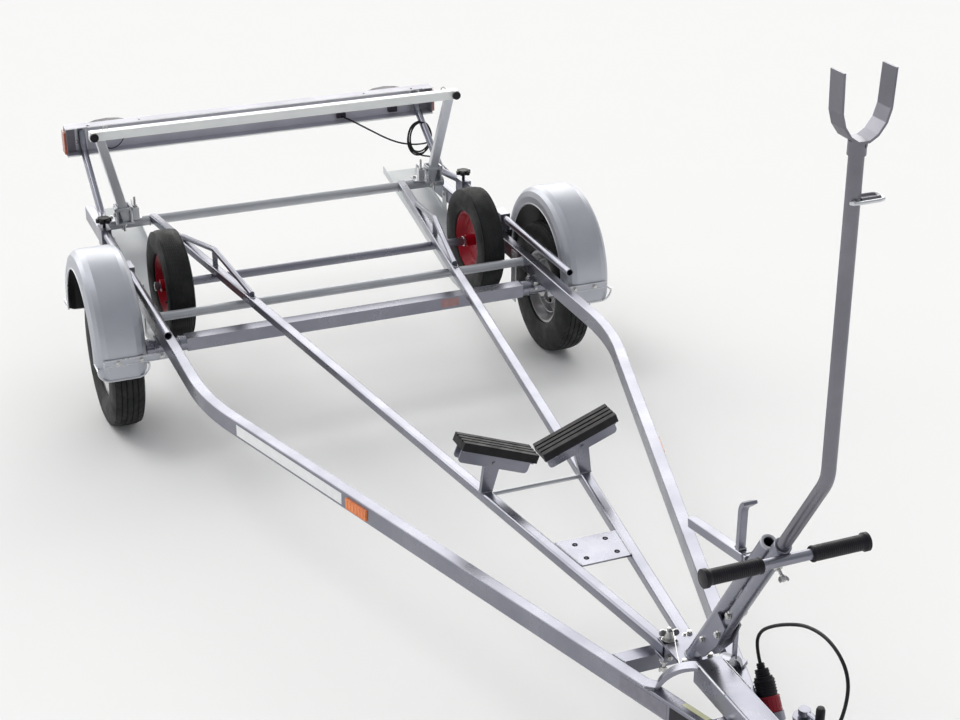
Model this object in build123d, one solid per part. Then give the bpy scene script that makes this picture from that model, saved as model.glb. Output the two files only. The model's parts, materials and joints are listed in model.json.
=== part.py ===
"""Galvanised dinghy road trailer with its launching trolley clamped on it.
Millimetres. Z up, the coupling toward -Y, X = 0 is the plane of symmetry.
Stations below are measured from the axle datum (Y = 0 at the axle beam);
SHIFT moves everything so that the box centre is at Y = 0."""
import math
import os
from build123d import *

os.makedirs("parts", exist_ok=True)

# whole vehicle
FRONT_TIP = -3085.0
REAR_FACE = 1350.0
SHIFT = -(FRONT_TIP + REAR_FACE) / 2
RUN = 0.05            # radial running clearance of every shaft
TOUCH = 0.02          # two welded pieces stop this far apart

# road frame
RAIL_X = 702.5        # centre of the side rails
RAIL_W = 36.0
RAIL_H = 56.0
RAIL_TOP = 423.5
RAIL_REAR = 1235.0
BEND_Y = -613.6       # where the straight rail and the drawbar line cross
BEND_R = 1050.0
V_SLOPE = 0.3111      # drawbar runs in by this much per unit of length
RAIL_FRONT = -2780.0

# axle
BEAM_Y = -15.0
BEAM_W = 50.0
BEAM_H = 46.0
BEAM_HALF = RAIL_X - 77.5
COLLAR_R = 27.0
ARM_X0 = RAIL_X + 35.5
ARM_X1 = ARM_X0 + 26.0

# road wheels
WHEEL_X, WHEEL_Y = RAIL_X + 135.5, 180.0
TYRE_R, TYRE_W, BEAD_R = 251.0, 118.0, 138.0
STUB_R = 15.0

# launching trolley
T_X0, T_Y0 = 519.0, 1000.0     # centre line of a trolley rail at the rear
T_SLOPE = 0.1436
T_FRONT = -2412.0
T_Z = 450.3
T_S = 32.0
TW_X, TW_Y, TW_Z = 588.0, 336.0, 418.0
TT_R, TT_W, TB_R = 199.5, 96.0, 112.0
T_AXLE_R = 16.0
SPIN_R = 10.0
REAR_TUBE_Y, REAR_TUBE_Z, REAR_TUBE_R = 942.0, 442.6, 19.0
REAR_TUBE_HALF = RAIL_X - 12.5

# column, mast and handle (all in the middle plane)
COL_A = (-2483.0, 472.0)
COL_B = (-2767.0, 938.0)
COL_R = 18.5
MAST_R = 15.0
SLEEVE_R = 17.5
SLEEVE_T0, SLEEVE_T1 = 190.0, 592.0   # along the column from its foot
WELD = 1.0                      # two welded tubes sink this far into each other
MAST_BEND_T = 857.4
MAST_TOP_Y, MAST_TOP_Z = -2951.0, 1882.0
HANDLE_R = 12.0
HANDLE_HALF = 198.0
GRIP_IN = 60.0

# light board
CAR_X, CAR_Z, CAR_R = RAIL_X + 23.5, 472.0, 14.0
CAR_FRONT = -222.0
CAR_IN_Y = 862.0                 # behind this a carrier bends inward
CAR_CLIMB_Y = 975.0              # and from here it climbs to the board
CAR_TOP_X = CAR_X - 26.0         # where it meets the board
BOARD_HALF = CAR_TOP_X + 66.0
BOARD_Z0, BOARD_Z1 = 632.5, 746.0
BOARD_Y0, BOARD_Y1 = 1245.0, 1300.0
LAMP_X, LAMP_W, LAMP_TOP = BOARD_HALF - 181.0, 188.0, 742.0

# gunwale bar
GUN_Y, GUN_Z, GUN_S = 858.0, 822.0, 34.0
GUN_HALF = 735.0

# bow pads
PAD_X, PAD_Y, PAD_Z = 134.0, -1562.0, 558.0

# jockey wheel
J_X, J_Y = 92.0, -2822.0
J_WHEEL_R, J_WHEEL_W = 100.0, 50.0
J_OUT_R, J_IN_R = 24.0, 19.0


def v_x(y):
    """Centre of the drawbar rail at station y in front of the bend."""
    return RAIL_X - V_SLOPE * (BEND_Y - y)


def t_x(y):
    """Centre of the trolley rail at station y."""
    return T_X0 - T_SLOPE * (T_Y0 - y)


def box(x0, x1, y0, y1, z0, z1):
    return Pos((x0 + x1) / 2, (y0 + y1) / 2, (z0 + z1) / 2) * Box(abs(x1 - x0), abs(y1 - y0), abs(z1 - z0))


def rod(p, q, r):
    p, q = Vector(*p), Vector(*q)
    pl = Plane(origin=p, z_dir=(q - p).normalized())
    return extrude(pl * Circle(r), amount=(q - p).length)


def path_of(pts, radii=0.0):
    if len(pts) == 2:
        return Line(*pts)
    return FilletPolyline(*pts, radius=radii)


def tube(pts, radii, r):
    path = path_of(pts, radii)
    pl = Plane(origin=path @ 0, z_dir=path % 0)
    return sweep(pl * Circle(r), path=path)


def bar(pts, radii, w, h, corner=0.0, up=(0, 0, 1)):
    """Square section of width w and height h along a path, h along 'up'."""
    path = path_of(pts, radii)
    pl = Plane(origin=path @ 0, x_dir=Vector(*up), z_dir=path % 0)
    face = RectangleRounded(h, w, corner) if corner else Rectangle(h, w)
    return sweep(pl * face, path=path)


def mirror_x(shape):
    return mirror(shape, about=Plane.YZ)


def ring(profile, x, y, z, a0=0.0, arc=360.0):
    """Revolve a profile of (across, radius) points about the X line at y, z."""
    pts = [Vector(x + u, y, z + r) for u, r in profile]
    face = make_face(Polyline(*pts, close=True))
    axis = Axis((x, y, z), (1, 0, 0))
    body = revolve(face, axis=axis, revolution_arc=arc)
    return body.rotate(axis, a0) if a0 else body


def cord_radii(pts):
    """Bend radius at each inner corner: 0.45 of the shorter run over tan of half the turn."""
    out = []
    for a, b, c in zip(pts, pts[1:], pts[2:]):
        u, w = Vector(*b) - Vector(*a), Vector(*c) - Vector(*b)
        turn = math.radians(u.get_angle(w))
        out.append(0.45 * min(u.length, w.length) / math.tan(turn / 2))
    return out


def cord(pts, dia, label):
    """A round cord along straight runs joined by tangent arcs."""
    radii = cord_radii(pts)
    line = FilletPolyline(*pts, radius=radii)
    c = sweep(Plane(origin=line @ 0, z_dir=line % 0) * Circle(dia / 2), path=line)
    runs = [(Vector(*b) - Vector(*a)).length for a, b in zip(pts, pts[1:])]
    ratio = max(max(a / b, b / a) for a, b in zip(runs, runs[1:]))
    print(label, "length", round(line.length), "smallest radius", round(min(radii), 1),
          "run ratio", round(ratio, 2), "volume share", round(c.volume / (math.pi * dia ** 2 / 4 * line.length), 3))
    return c


def save(name, *shapes):
    solids = []
    for s in shapes:
        solids += list(s.solids())
    whole = solids[0] if len(solids) == 1 else Compound(children=solids)
    whole = whole.moved(Location((0, SHIFT, 0)))
    export_step(whole, "parts/" + name + ".step")


# side rails
def rail(side):
    zc = RAIL_TOP - RAIL_H / 2
    pts = [(side * RAIL_X, RAIL_REAR, zc), (side * RAIL_X, BEND_Y, zc), (side * v_x(RAIL_FRONT), RAIL_FRONT, zc)]
    return bar(pts, BEND_R, RAIL_W, RAIL_H, 4.0)


save("rail_left", rail(-1))
save("rail_right", rail(1))

# axle
BEAM_TOP = RAIL_TOP - RAIL_H
BEAM_ZC = BEAM_TOP - BEAM_H / 2
beam = box(-BEAM_HALF, BEAM_HALF, BEAM_Y - BEAM_W / 2, BEAM_Y + BEAM_W / 2, BEAM_TOP - BEAM_H, BEAM_TOP)
for s in (-1, 1):
    beam += rod((s * (BEAM_HALF - 5), BEAM_Y, BEAM_ZC), (s * ARM_X0, BEAM_Y, BEAM_ZC), COLLAR_R - 4)
    beam += rod((s * BEAM_HALF, BEAM_Y, BEAM_ZC), (s * (BEAM_HALF + 22), BEAM_Y, BEAM_ZC), COLLAR_R)
    beam += box(s * (RAIL_X - 40), s * (RAIL_X + 24), BEAM_Y - 45, BEAM_Y + 45, BEAM_TOP - 8, BEAM_TOP)

arms = []
for s in (-1, 1):
    a = (s * ARM_X0, BEAM_Y, BEAM_ZC)
    b = (s * ARM_X1, BEAM_Y, BEAM_ZC)
    c = (s * ARM_X0, WHEEL_Y, TYRE_R)
    d = (s * ARM_X1, WHEEL_Y, TYRE_R)
    arm = rod(a, b, 30) + rod(c, d, 26)
    x0 = min(s * ARM_X0, s * ARM_X1)
    quad = [Vector(x0, BEAM_Y, BEAM_ZC + 28), Vector(x0, WHEEL_Y, TYRE_R + 24),
            Vector(x0, WHEEL_Y, TYRE_R - 24), Vector(x0, BEAM_Y, BEAM_ZC - 28)]
    arm += extrude(make_face(Polyline(*quad, close=True)), amount=ARM_X1 - ARM_X0, dir=(1, 0, 0))
    arm += rod((s * (ARM_X1 - 5), WHEEL_Y, TYRE_R), (s * 905, WHEEL_Y, TYRE_R), STUB_R)
    arms.append(arm)
for arm in arms:
    beam += arm
save("axle_beam", beam)

# cross tubes
MID_Y, MID_Z, MID_R = 104.0, 400.0, 16.0
mid_half = RAIL_X - RAIL_W / 2 - TOUCH
mid = rod((-mid_half, MID_Y, MID_Z), (mid_half, MID_Y, MID_Z), MID_R)
FT_Y = -2366.0
RAIL_HALF_X = RAIL_W / 2 * math.hypot(1, V_SLOPE) + TOUCH
ft = []
for y in (FT_Y + 20, FT_Y - 20):
    ft += [(v_x(y) - RAIL_HALF_X, y)]
FT_Z = RAIL_TOP - 43.0
q = [Vector(-ft[0][0], ft[0][1], FT_Z), Vector(ft[0][0], ft[0][1], FT_Z),
     Vector(ft[1][0], ft[1][1], FT_Z), Vector(-ft[1][0], ft[1][1], FT_Z)]
front_tube = extrude(make_face(Polyline(*q, close=True)), amount=42, dir=(0, 0, 1))
save("frame_mid_tube", mid)
save("frame_front_tube", front_tube)

# wheel trays
TRAY_T = 3.0
TRAY_Z = 213.0
TRAY_OUT = RAIL_X - RAIL_W / 2
TRAY_IN = TRAY_OUT - 149.5
tray_line = [(RAIL_REAR, 405.0), (900.0, 330.0), (440.0, TRAY_Z), (240.0, TRAY_Z), (170.0, 252.0)]


def tray(side):
    pts = [Vector(TRAY_IN, y, z) for y, z in tray_line]
    low = [Vector(TRAY_IN, y, z - TRAY_T) for y, z in tray_line]
    floor = extrude(make_face(Polyline(*(pts + low[::-1]), close=True)), amount=TRAY_OUT - TRAY_IN, dir=(1, 0, 0))
    up = [Vector(TRAY_IN, y, z + 26) for y, z in tray_line]
    lip = extrude(make_face(Polyline(*(up + low[::-1]), close=True)), amount=TRAY_T, dir=(1, 0, 0))
    up2 = [Vector(TRAY_OUT - TRAY_T, y, z + 14) for y, z in tray_line]
    low2 = [Vector(TRAY_OUT - TRAY_T, y, z - TRAY_T) for y, z in tray_line]
    lip2 = extrude(make_face(Polyline(*(up2 + low2[::-1]), close=True)), amount=TRAY_T, dir=(1, 0, 0))
    t = floor + lip + lip2
    for y in (900.0, 400.0, 180.0):
        z = 330.0 if y > 800 else TRAY_Z
        t += box(TRAY_OUT - 4, TRAY_OUT, y - 20, y + 20, z, RAIL_TOP - 10)
    return t if side > 0 else mirror_x(t)


save("wheel_tray_left", tray(-1))
save("wheel_tray_right", tray(1))

# drawbar head
HEAD_Y0, HEAD_Y1 = -2550.0, -2905.0
HEAD_W, HEAD_Z0, HEAD_TOP = 70.0, 443.0, 503.0
C_Z = (HEAD_Z0 + HEAD_TOP) / 2
head = box(-HEAD_W / 2, HEAD_W / 2, HEAD_Y1, HEAD_Y0, HEAD_Z0, HEAD_TOP)
head = fillet(head.edges().filter_by(Axis.Y), 6)
head -= box(-HEAD_W / 2 + 5, HEAD_W / 2 - 5, HEAD_Y0 - 90, HEAD_Y0 + 1, HEAD_Z0 + 5, HEAD_TOP - 5)
SADDLE_Y0, SADDLE_Y1 = -2775.0, -2690.0
saddle_half = v_x((SADDLE_Y0 + SADDLE_Y1) / 2) + RAIL_W / 2
head += box(-saddle_half, saddle_half, SADDLE_Y0, SADDLE_Y1, RAIL_TOP, HEAD_Z0)

# the yoke: a strap arched from each rail up to the rear end of the head
YOKE_T, YOKE_D = 8.0, 30.0
YOKE_FOOT = 34.0      # length that lies flat on the rail
YOKE_Y = -2500.0      # where it lies on the rail
foot_x = v_x(YOKE_Y)
end_x = HEAD_W / 2 - 4
end_y = HEAD_Y0 - YOKE_D / 2
reach = math.hypot(foot_x - end_x, YOKE_Y - end_y)
rise = HEAD_TOP - RAIL_TOP
yoke_plane = Plane(origin=(foot_x, YOKE_Y, RAIL_TOP), x_dir=((end_x - foot_x) / reach, (end_y - YOKE_Y) / reach, 0),
                   z_dir=((end_y - YOKE_Y) / reach, (foot_x - end_x) / reach, 0))
start = YOKE_FOOT / 2 - YOKE_T
outer = ThreePointArc((start, YOKE_T), (start + (reach - start) * 0.38, rise * 0.72), (reach, rise))
inner = ThreePointArc((reach, rise - YOKE_T), (start + YOKE_T + (reach - start) * 0.38, rise * 0.72 - YOKE_T),
                      (start + YOKE_T, 0))
yoke_line = outer + Line((reach, rise), (reach, rise - YOKE_T)) + inner
yoke_line += Polyline((start + YOKE_T, 0), (-YOKE_FOOT / 2, 0), (-YOKE_FOOT / 2, YOKE_T), (start, YOKE_T))
yoke = extrude(yoke_plane * make_face(yoke_line), amount=YOKE_D / 2, both=True)
head += yoke
head += mirror_x(yoke)
head += rod((0, HEAD_Y1 + 10, C_Z), (0, -2960, C_Z), 25)
save("drawbar_head", head)

# coupling
BALL_Y, BALL_Z = -3035.0, 455.0
LEV_Y, LEV_Z = -3003.0, 522.0
cup = box(-30, 30, -2985, -2920, C_Z - 33, C_Z + 33) - rod((0, -2900, C_Z), (0, -2961, C_Z), 25)
nose = [(-2925, 30.0), (-2985, 34.0), (-3035, 40.0), (-3085, 18.0)]
cup = extrude(make_face(Polyline(*[Vector(w, y, C_Z - 30) for y, w in nose],
                                 *[Vector(-w, y, C_Z - 30) for y, w in nose[::-1]], close=True)),
              amount=58, dir=(0, 0, 1))
cup = fillet(cup.edges().filter_by(Axis.Z), 5)
cup -= rod((0, -2900, C_Z), (0, -2960, C_Z), 25)
cup -= Pos(0, BALL_Y, BALL_Z) * Sphere(25.6)
cup -= rod((0, BALL_Y, C_Z - 40), (0, BALL_Y, BALL_Z), 25.0)
for s in (-1, 1):
    cup += box(s * 13.5, s * 18.5, LEV_Y - 11, LEV_Y + 11, C_Z + 20, LEV_Z + 12)
cup += rod((-18, LEV_Y, LEV_Z), (18, LEV_Y, LEV_Z), 4)
save("coupling_head", cup)

lever = box(-12, 12, LEV_Y, -2880, LEV_Z - 4, LEV_Z + 4) + rod((-12, LEV_Y, LEV_Z), (12, LEV_Y, LEV_Z), 9)
lever += box(-12, 12, -2892, -2880, LEV_Z - 4, LEV_Z + 12)
lever -= rod((-20, LEV_Y, LEV_Z), (20, LEV_Y, LEV_Z), 4 + RUN)
save("coupling_lever", lever)

# mudguards: a half ring on straight skirts, with a crown rounded at both sides
MG_R = 293.0
MG_Z = 349.0
MG_X0 = ARM_X1 + 9.0
MG_X1 = MG_X0 + 174.0
MG_CORNER = 42.0      # radius of the lower corners
MG_END = 290.0        # height of the lower edge in front
MG_REAR_END = 320.0
MG_SIDE = 38.0
MG_LIP = 26.0
MG_T = 2.5
STAY_T = 6.0
STAY_Z0 = 344.0
crown = [(0.0, 1.0), (0.16, 0.5), (0.5, 0.16), (1.0, 0.0)]
mg_out = [(MG_X0, MG_SIDE + MG_LIP)]
mg_in = [(MG_X0 + MG_T, MG_SIDE + MG_LIP)]
for u, v in crown:
    mg_out.append((MG_X0 + u * MG_SIDE, v * MG_SIDE))
    mg_in.append((MG_X0 + MG_T + u * (MG_SIDE - MG_T), MG_T + v * (MG_SIDE - MG_T)))
for u, v in crown[::-1]:
    mg_out.append((MG_X1 - u * MG_SIDE, v * MG_SIDE))
    mg_in.append((MG_X1 - MG_T - u * (MG_SIDE - MG_T), MG_T + v * (MG_SIDE - MG_T)))
mg_out.append((MG_X1, MG_SIDE + MG_LIP))
mg_in.append((MG_X1 - MG_T, MG_SIDE + MG_LIP))
mg_line = mg_out + mg_in[::-1]


def mudguard(side):
    arch = ring([(x, MG_R - d) for x, d in mg_line], 0.0, WHEEL_Y, MG_Z, -90.0, 180.0)
    for sy, end in ((-1, MG_END), (1, MG_REAR_END)):
        pts = [Vector(x, WHEEL_Y + sy * (MG_R - d), end) for x, d in mg_line]
        arch += extrude(make_face(Polyline(*pts, close=True)), amount=MG_Z - end, dir=(0, 0, 1))
        y0, y1 = WHEEL_Y + sy * (MG_R - MG_SIDE - MG_LIP - 1), WHEEL_Y + sy * (MG_R + 1)
        for x0, x1 in ((MG_X0, MG_X0 + MG_CORNER), (MG_X1, MG_X1 - MG_CORNER)):
            corner = box(min(x0, x1) - 1, max(x0, x1) + 1, min(y0, y1), max(y0, y1), end - 1, end + MG_CORNER)
            corner -= box(x1, x1 + (x1 - x0), min(y0, y1), max(y0, y1), end - 1, end + MG_CORNER)
            corner -= rod((x1, min(y0, y1) - 1, end + MG_CORNER), (x1, max(y0, y1) + 1, end + MG_CORNER), MG_CORNER)
            arch -= corner
    x0 = RAIL_X + RAIL_W / 2
    front = WHEEL_Y - MG_R
    arch += box(x0 - 30, MG_X1 - 22, front - STAY_T, front, STAY_Z0, BEAM_TOP)
    arch += box(x0, MG_X0 + 1, WHEEL_Y + 232, WHEEL_Y + 238, BEAM_TOP + 8, BEAM_TOP + 38)
    return arch if side > 0 else mirror_x(arch)


save("mudguard_left", mudguard(-1))
save("mudguard_right", mudguard(1))


# wheels
def tyre_profile(r, w, bead):
    h = w / 2
    return [(-h * 0.62, bead), (-h * 0.92, bead + (r - bead) * 0.22), (-h, bead + (r - bead) * 0.5),
            (-h * 0.94, bead + (r - bead) * 0.8), (-h * 0.78, r - 6), (-h * 0.6, r), (h * 0.6, r), (h * 0.78, r - 6),
            (h * 0.94, bead + (r - bead) * 0.8), (h, bead + (r - bead) * 0.5),
            (h * 0.92, bead + (r - bead) * 0.22), (h * 0.62, bead)]


def wheel(side, x, y, z, r, w, bead, bore, disc, hub_r, hub_half):
    ty = ring(tyre_profile(r, w, bead), side * x, y, z)
    h = w / 2
    rim_p = [(-h * 0.66, bead + 8), (-h * 0.66, bead - 8), (-h * 0.2, bead - 22), (disc, bead - 30), (disc, hub_r),
             (-hub_half, hub_r), (-hub_half, bore), (hub_half, bore), (hub_half, hub_r), (disc + 7, hub_r),
             (disc + 7, bead - 34), (h * 0.62, bead - 8), (h * 0.66, bead + 8), (h * 0.60, bead + 8),
             (h * 0.60, bead), (-h * 0.60, bead), (-h * 0.60, bead + 8)]
    rim_p = [(side * u, v) for u, v in rim_p]
    rim = ring(rim_p, side * x, y, z)
    ty -= rim
    return ty, rim


for side, tag in ((-1, "left"), (1, "right")):
    ty, rim = wheel(side, WHEEL_X, WHEEL_Y, TYRE_R, TYRE_R, TYRE_W, BEAD_R, STUB_R + RUN, 14.0, 38.0, 42.0)
    save("road_tyre_" + tag, ty)
    save("road_rim_" + tag, rim)
    ty, rim = wheel(side, TW_X, TW_Y, TW_Z, TT_R, TT_W, TB_R, SPIN_R + RUN, -4.0, 22.0, 38.0)
    save("trolley_tyre_" + tag, ty)
    save("trolley_rim_" + tag, rim)

# trolley frame
rear_tube = rod((-REAR_TUBE_HALF, REAR_TUBE_Y, REAR_TUBE_Z), (REAR_TUBE_HALF, REAR_TUBE_Y, REAR_TUBE_Z), REAR_TUBE_R)
t_rails = []
for s in (-1, 1):
    pts = [(s * t_x(REAR_TUBE_Y), REAR_TUBE_Y, T_Z), (s * t_x(T_FRONT), T_FRONT, T_Z)]
    t_rails.append(bar(pts, 0, T_S, T_S, 7.0) - rear_tube)
save("trolley_rails", *t_rails)

axle = rod((-TW_X + 48, TW_Y, TW_Z), (TW_X - 48, TW_Y, TW_Z), T_AXLE_R)
axle += rod((-TW_X - 52, TW_Y, TW_Z), (TW_X + 52, TW_Y, TW_Z), SPIN_R)
for s in (-1, 1):
    axle += rod((s * (TW_X + 44), TW_Y, TW_Z), (s * (TW_X + 56), TW_Y, TW_Z), 16)
save("trolley_axle", axle)

POST_Y = 330.0
braces = []
for s in (-1, 1):
    top = T_Z + T_S / 2
    pts = [(s * t_x(640), 640, top + 8), (s * t_x(POST_Y), POST_Y, top + 62), (s * t_x(10), 10, top + 8)]
    post_x = s * t_x(POST_Y)
    brace = tube(pts, 40, 10) + box(post_x - 9, post_x + 9, POST_Y - 3, POST_Y + 3, top - 1, top + 56)
    braces.append(brace - t_rails[0] - t_rails[1])
save("trolley_braces", *braces)

PLATE_Z = T_Z + T_S / 2
pw0, pw1 = t_x(-1888) - T_S / 2 + 4, t_x(-2016) - T_S / 2 + 4
q = [Vector(-pw0, -1888, PLATE_Z - 5), Vector(pw0, -1888, PLATE_Z - 5), Vector(pw1, -2016, PLATE_Z - 5), Vector(-pw1, -2016, PLATE_Z - 5)]
plate = extrude(make_face(Polyline(*q, close=True)), amount=5, dir=(0, 0, 1))
for x in (-44.0, 44.0):
    for y in (-1916.0, -1987.0):
        plate -= rod((x, y, PLATE_Z - 10), (x, y, PLATE_Z + 10), 4.5)
save("bolt_plate", plate - t_rails[0] - t_rails[1])

tie_x = t_x(PAD_Y) - T_S / 2 + 2
tie = rod((-tie_x, PAD_Y, T_Z + 2), (tie_x, PAD_Y, T_Z + 2), 6) - t_rails[0] - t_rails[1]
save("trolley_cross_tubes", rear_tube, tie)

# bow pads
STEM_FOOT, STEM_TOP = 17.0, 24.0     # half widths of a tapered stem
stems = []
for s in (-1, 1):
    x = s * t_x(PAD_Y)
    px = s * PAD_X
    low, high = T_Z + T_S / 2 - 1, PAD_Z - 10
    stem_line = [Vector(x - STEM_FOOT, PAD_Y - 8, low), Vector(x + STEM_FOOT, PAD_Y - 8, low),
                 Vector(px + STEM_TOP, PAD_Y - 8, high), Vector(px - STEM_TOP, PAD_Y - 8, high)]
    stem = extrude(make_face(Polyline(*stem_line, close=True)), amount=16, dir=(0, 1, 0))
    stem += rod((px, PAD_Y + 8, PAD_Z), (px, PAD_Y - 8, PAD_Z), 17)
    stem += box(px - 17, px + 17, PAD_Y - 8, PAD_Y + 8, PAD_Z - 16, PAD_Z)
    stem += rod((px, PAD_Y + 22, PAD_Z), (px, PAD_Y - 22, PAD_Z), 5)
    stems.append(stem - t_rails[0] - t_rails[1])
save("pad_stems", *stems)

PAD_TILT = 21.0
FLANGE_HALF = 110.0
for s, tag in ((-1, "left"), (1, "right")):
    px = s * PAD_X
    ch = box(-FLANGE_HALF, FLANGE_HALF, -34, 34, 23, 27)
    flanges = box(-FLANGE_HALF, FLANGE_HALF, -18, -14, -14, 25) + box(-FLANGE_HALF, FLANGE_HALF, 14, 18, -14, 25)
    lower = flanges.edges().filter_by(Axis.Y).group_by(Axis.Z)[0]
    ch += fillet(lower, 12)
    ch -= rod((0, -30, 0), (0, 30, 0), 5 + RUN)
    rub = box(-118, 118, -36, 36, 27, 52)
    for yy in (-18, 0, 18):
        rub -= box(-120, 120, yy - 3, yy + 3, 47, 53)
    loc = Pos(px, PAD_Y, PAD_Z) * Rot(0, -s * PAD_TILT, 0)
    save("pad_channel_" + tag, loc * ch)
    save("pad_rubber_" + tag, loc * rub)

# column, mast sleeve, bow stop
dy, dz = COL_B[0] - COL_A[0], COL_B[1] - COL_A[1]
ln = math.hypot(dy, dz)
ux, uz = dy / ln, dz / ln          # along the column (Y, Z)
nx, nz = -uz, ux                   # square to it, toward the front
if nx > 0:
    nx, nz = -nx, -nz
off = COL_R + SLEEVE_R - WELD


def on_col(t, d=0.0):
    """Point t along the column from its foot and d in front of it."""
    return (0.0, COL_A[0] + ux * t + nx * d, COL_A[1] + uz * t + nz * d)


T_TOP = T_Z + T_S / 2
FOOT_HALF, FOOT_T = 46.0, 6.0     # plate under the column
HANDLE_T = 579.0
HANDLE_D = off + SLEEVE_R + HANDLE_R - 2
hx = on_col(HANDLE_T, HANDLE_D)
col = rod(on_col(-14), on_col(ln), COL_R) - box(-30, 30, COL_A[0] - 60, COL_A[0] + 60, T_TOP - 60, T_TOP)
col -= rod(on_col(60), on_col(ln + 5), COL_R - 3)
sleeve = rod(on_col(SLEEVE_T0, off), on_col(SLEEVE_T1, off), SLEEVE_R)
col += rod((-HANDLE_HALF + 4, hx[1], hx[2]), (HANDLE_HALF - 4, hx[1], hx[2]), HANDLE_R)
col += sleeve
col -= rod(on_col(SLEEVE_T0 - 10, off), on_col(SLEEVE_T1 + 10, off), MAST_R + RUN)
col += box(-FOOT_HALF, FOOT_HALF, COL_A[0] - 28, T_FRONT + 22, T_TOP, T_TOP + FOOT_T)
CHEEK_T = 5.0         # each of the two plates that hold the sleeve's lower end
for s in (-1, 1):
    x0 = min(s * (MAST_R + 1.5), s * (MAST_R + 1.5 + CHEEK_T))
    cheek = []
    for t, d in ((60, 6), (SLEEVE_T0 + 50, 6), (SLEEVE_T0 + 50, off + 14), (SLEEVE_T0 - 20, off + 22), (84, off + 8)):
        cheek.append(Vector(x0, *on_col(t, d)[1:]))
    col += extrude(make_face(Polyline(*cheek, close=True)), amount=CHEEK_T, dir=(1, 0, 0))
save("column_tube", col)

# mast
p0 = on_col(150, off)
bend = on_col(MAST_BEND_T, off)
p2 = (0.0, MAST_TOP_Y, MAST_TOP_Z)
mast = tube([p0, bend, p2], 90, MAST_R)
FORK_Y = MAST_TOP_Y
FORK_H, FORK_W, FORK_D, FORK_T = 136.0, 57.0, 43.0, 5.0
fork_half = [(12.0, 0.0), (30.0, 11.0), (46.0, 33.0), (54.0, 60.0), (FORK_W, FORK_H)]
fork_half_in = [(11.0, FORK_T), (27.0, 15.5), (41.5, 36.0), (49.0, 61.0), (FORK_W - FORK_T, FORK_H)]
fork_out = [(-x, MAST_TOP_Z + z) for x, z in fork_half[::-1]] + [(x, MAST_TOP_Z + z) for x, z in fork_half]
fork_in = [(-x, MAST_TOP_Z + z) for x, z in fork_half_in[::-1]] + [(x, MAST_TOP_Z + z) for x, z in fork_half_in]
fork_line = [Vector(x, FORK_Y - FORK_D / 2, z) for x, z in fork_out + fork_in[::-1]]
fork = extrude(make_face(Polyline(*fork_line, close=True)), amount=FORK_D, dir=(0, 1, 0))
fork += rod((0, FORK_Y, MAST_TOP_Z - 26), (0, FORK_Y, MAST_TOP_Z + 2), MAST_R + 3)
fork -= mast
save("mast_fork", max(fork.solids(), key=lambda k: k.volume))
EYE_Z, EYE_X = MAST_TOP_Z - 112.0, 56.0
eye_line = [(MAST_R - 3, FORK_Y - 10, EYE_Z), (EYE_X, FORK_Y - 10, EYE_Z), (EYE_X, FORK_Y + 10, EYE_Z),
            (MAST_R - 3, FORK_Y + 10, EYE_Z)]
eye = tube(eye_line, 9, 4)
save("mast_post", mast + eye)

# handle
grips = []
for s in (-1, 1):
    g = rod((s * GRIP_IN, hx[1], hx[2]), (s * HANDLE_HALF, hx[1], hx[2]), 17)
    g += rod((s * (HANDLE_HALF - 10), hx[1], hx[2]), (s * HANDLE_HALF, hx[1], hx[2]), 21)
    g -= rod((s * (GRIP_IN - 5), hx[1], hx[2]), (s * (HANDLE_HALF - 4), hx[1], hx[2]), HANDLE_R)
    grips.append(g)
save("handle_grips", *grips)

# bow stop
STOP_END = (0.0, COL_A[0] + 40.0, 812.0)
STOP_ROOT = (0.0, COL_A[0] - 215.0, 852.0)
STOP_S = 25.0
stop = bar([STOP_END, STOP_ROOT], 0, STOP_S, STOP_S, 4)
HORN_W, HORN_T, HORN_H = 20.0, 14.0, 99.0
HORN_R = 34.0         # the hook at the top bends forward in this radius
horn_y, horn_z = STOP_ROOT[1] + 42, STOP_ROOT[2] - 16
horn_top = horn_z + 16 + HORN_H
shaft = Line((0, horn_y, horn_z), (0, horn_y, horn_top))
hook = ThreePointArc((0, horn_y, horn_top), (0, horn_y - HORN_R * 0.12, horn_top + HORN_R * 0.48),
                     (0, horn_y - HORN_R * 0.42, horn_top + HORN_R * 0.82))
horn_foot = Plane(origin=(0, horn_y, horn_z), x_dir=(1, 0, 0), z_dir=(0, 0, 1))
stop += sweep(horn_foot * RectangleRounded(HORN_W, HORN_T, 3), path=shaft + hook)
flare_in = Plane(origin=hook @ 1, x_dir=(1, 0, 0), z_dir=hook % 1)
flare_out = Plane(origin=(hook @ 1) + (hook % 1) * 16, x_dir=(1, 0, 0), z_dir=hook % 1)
stop += loft([flare_in * Rectangle(HORN_W, HORN_T), flare_out * Rectangle(HORN_W + 14, HORN_T - 7)])
stop -= rod(on_col(0), on_col(ln + 5), COL_R)
stop -= rod(on_col(SLEEVE_T0, off), on_col(SLEEVE_T1, off), SLEEVE_R)
stop = max(stop.solids(), key=lambda k: k.volume)
save("bow_stop", stop)

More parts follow.
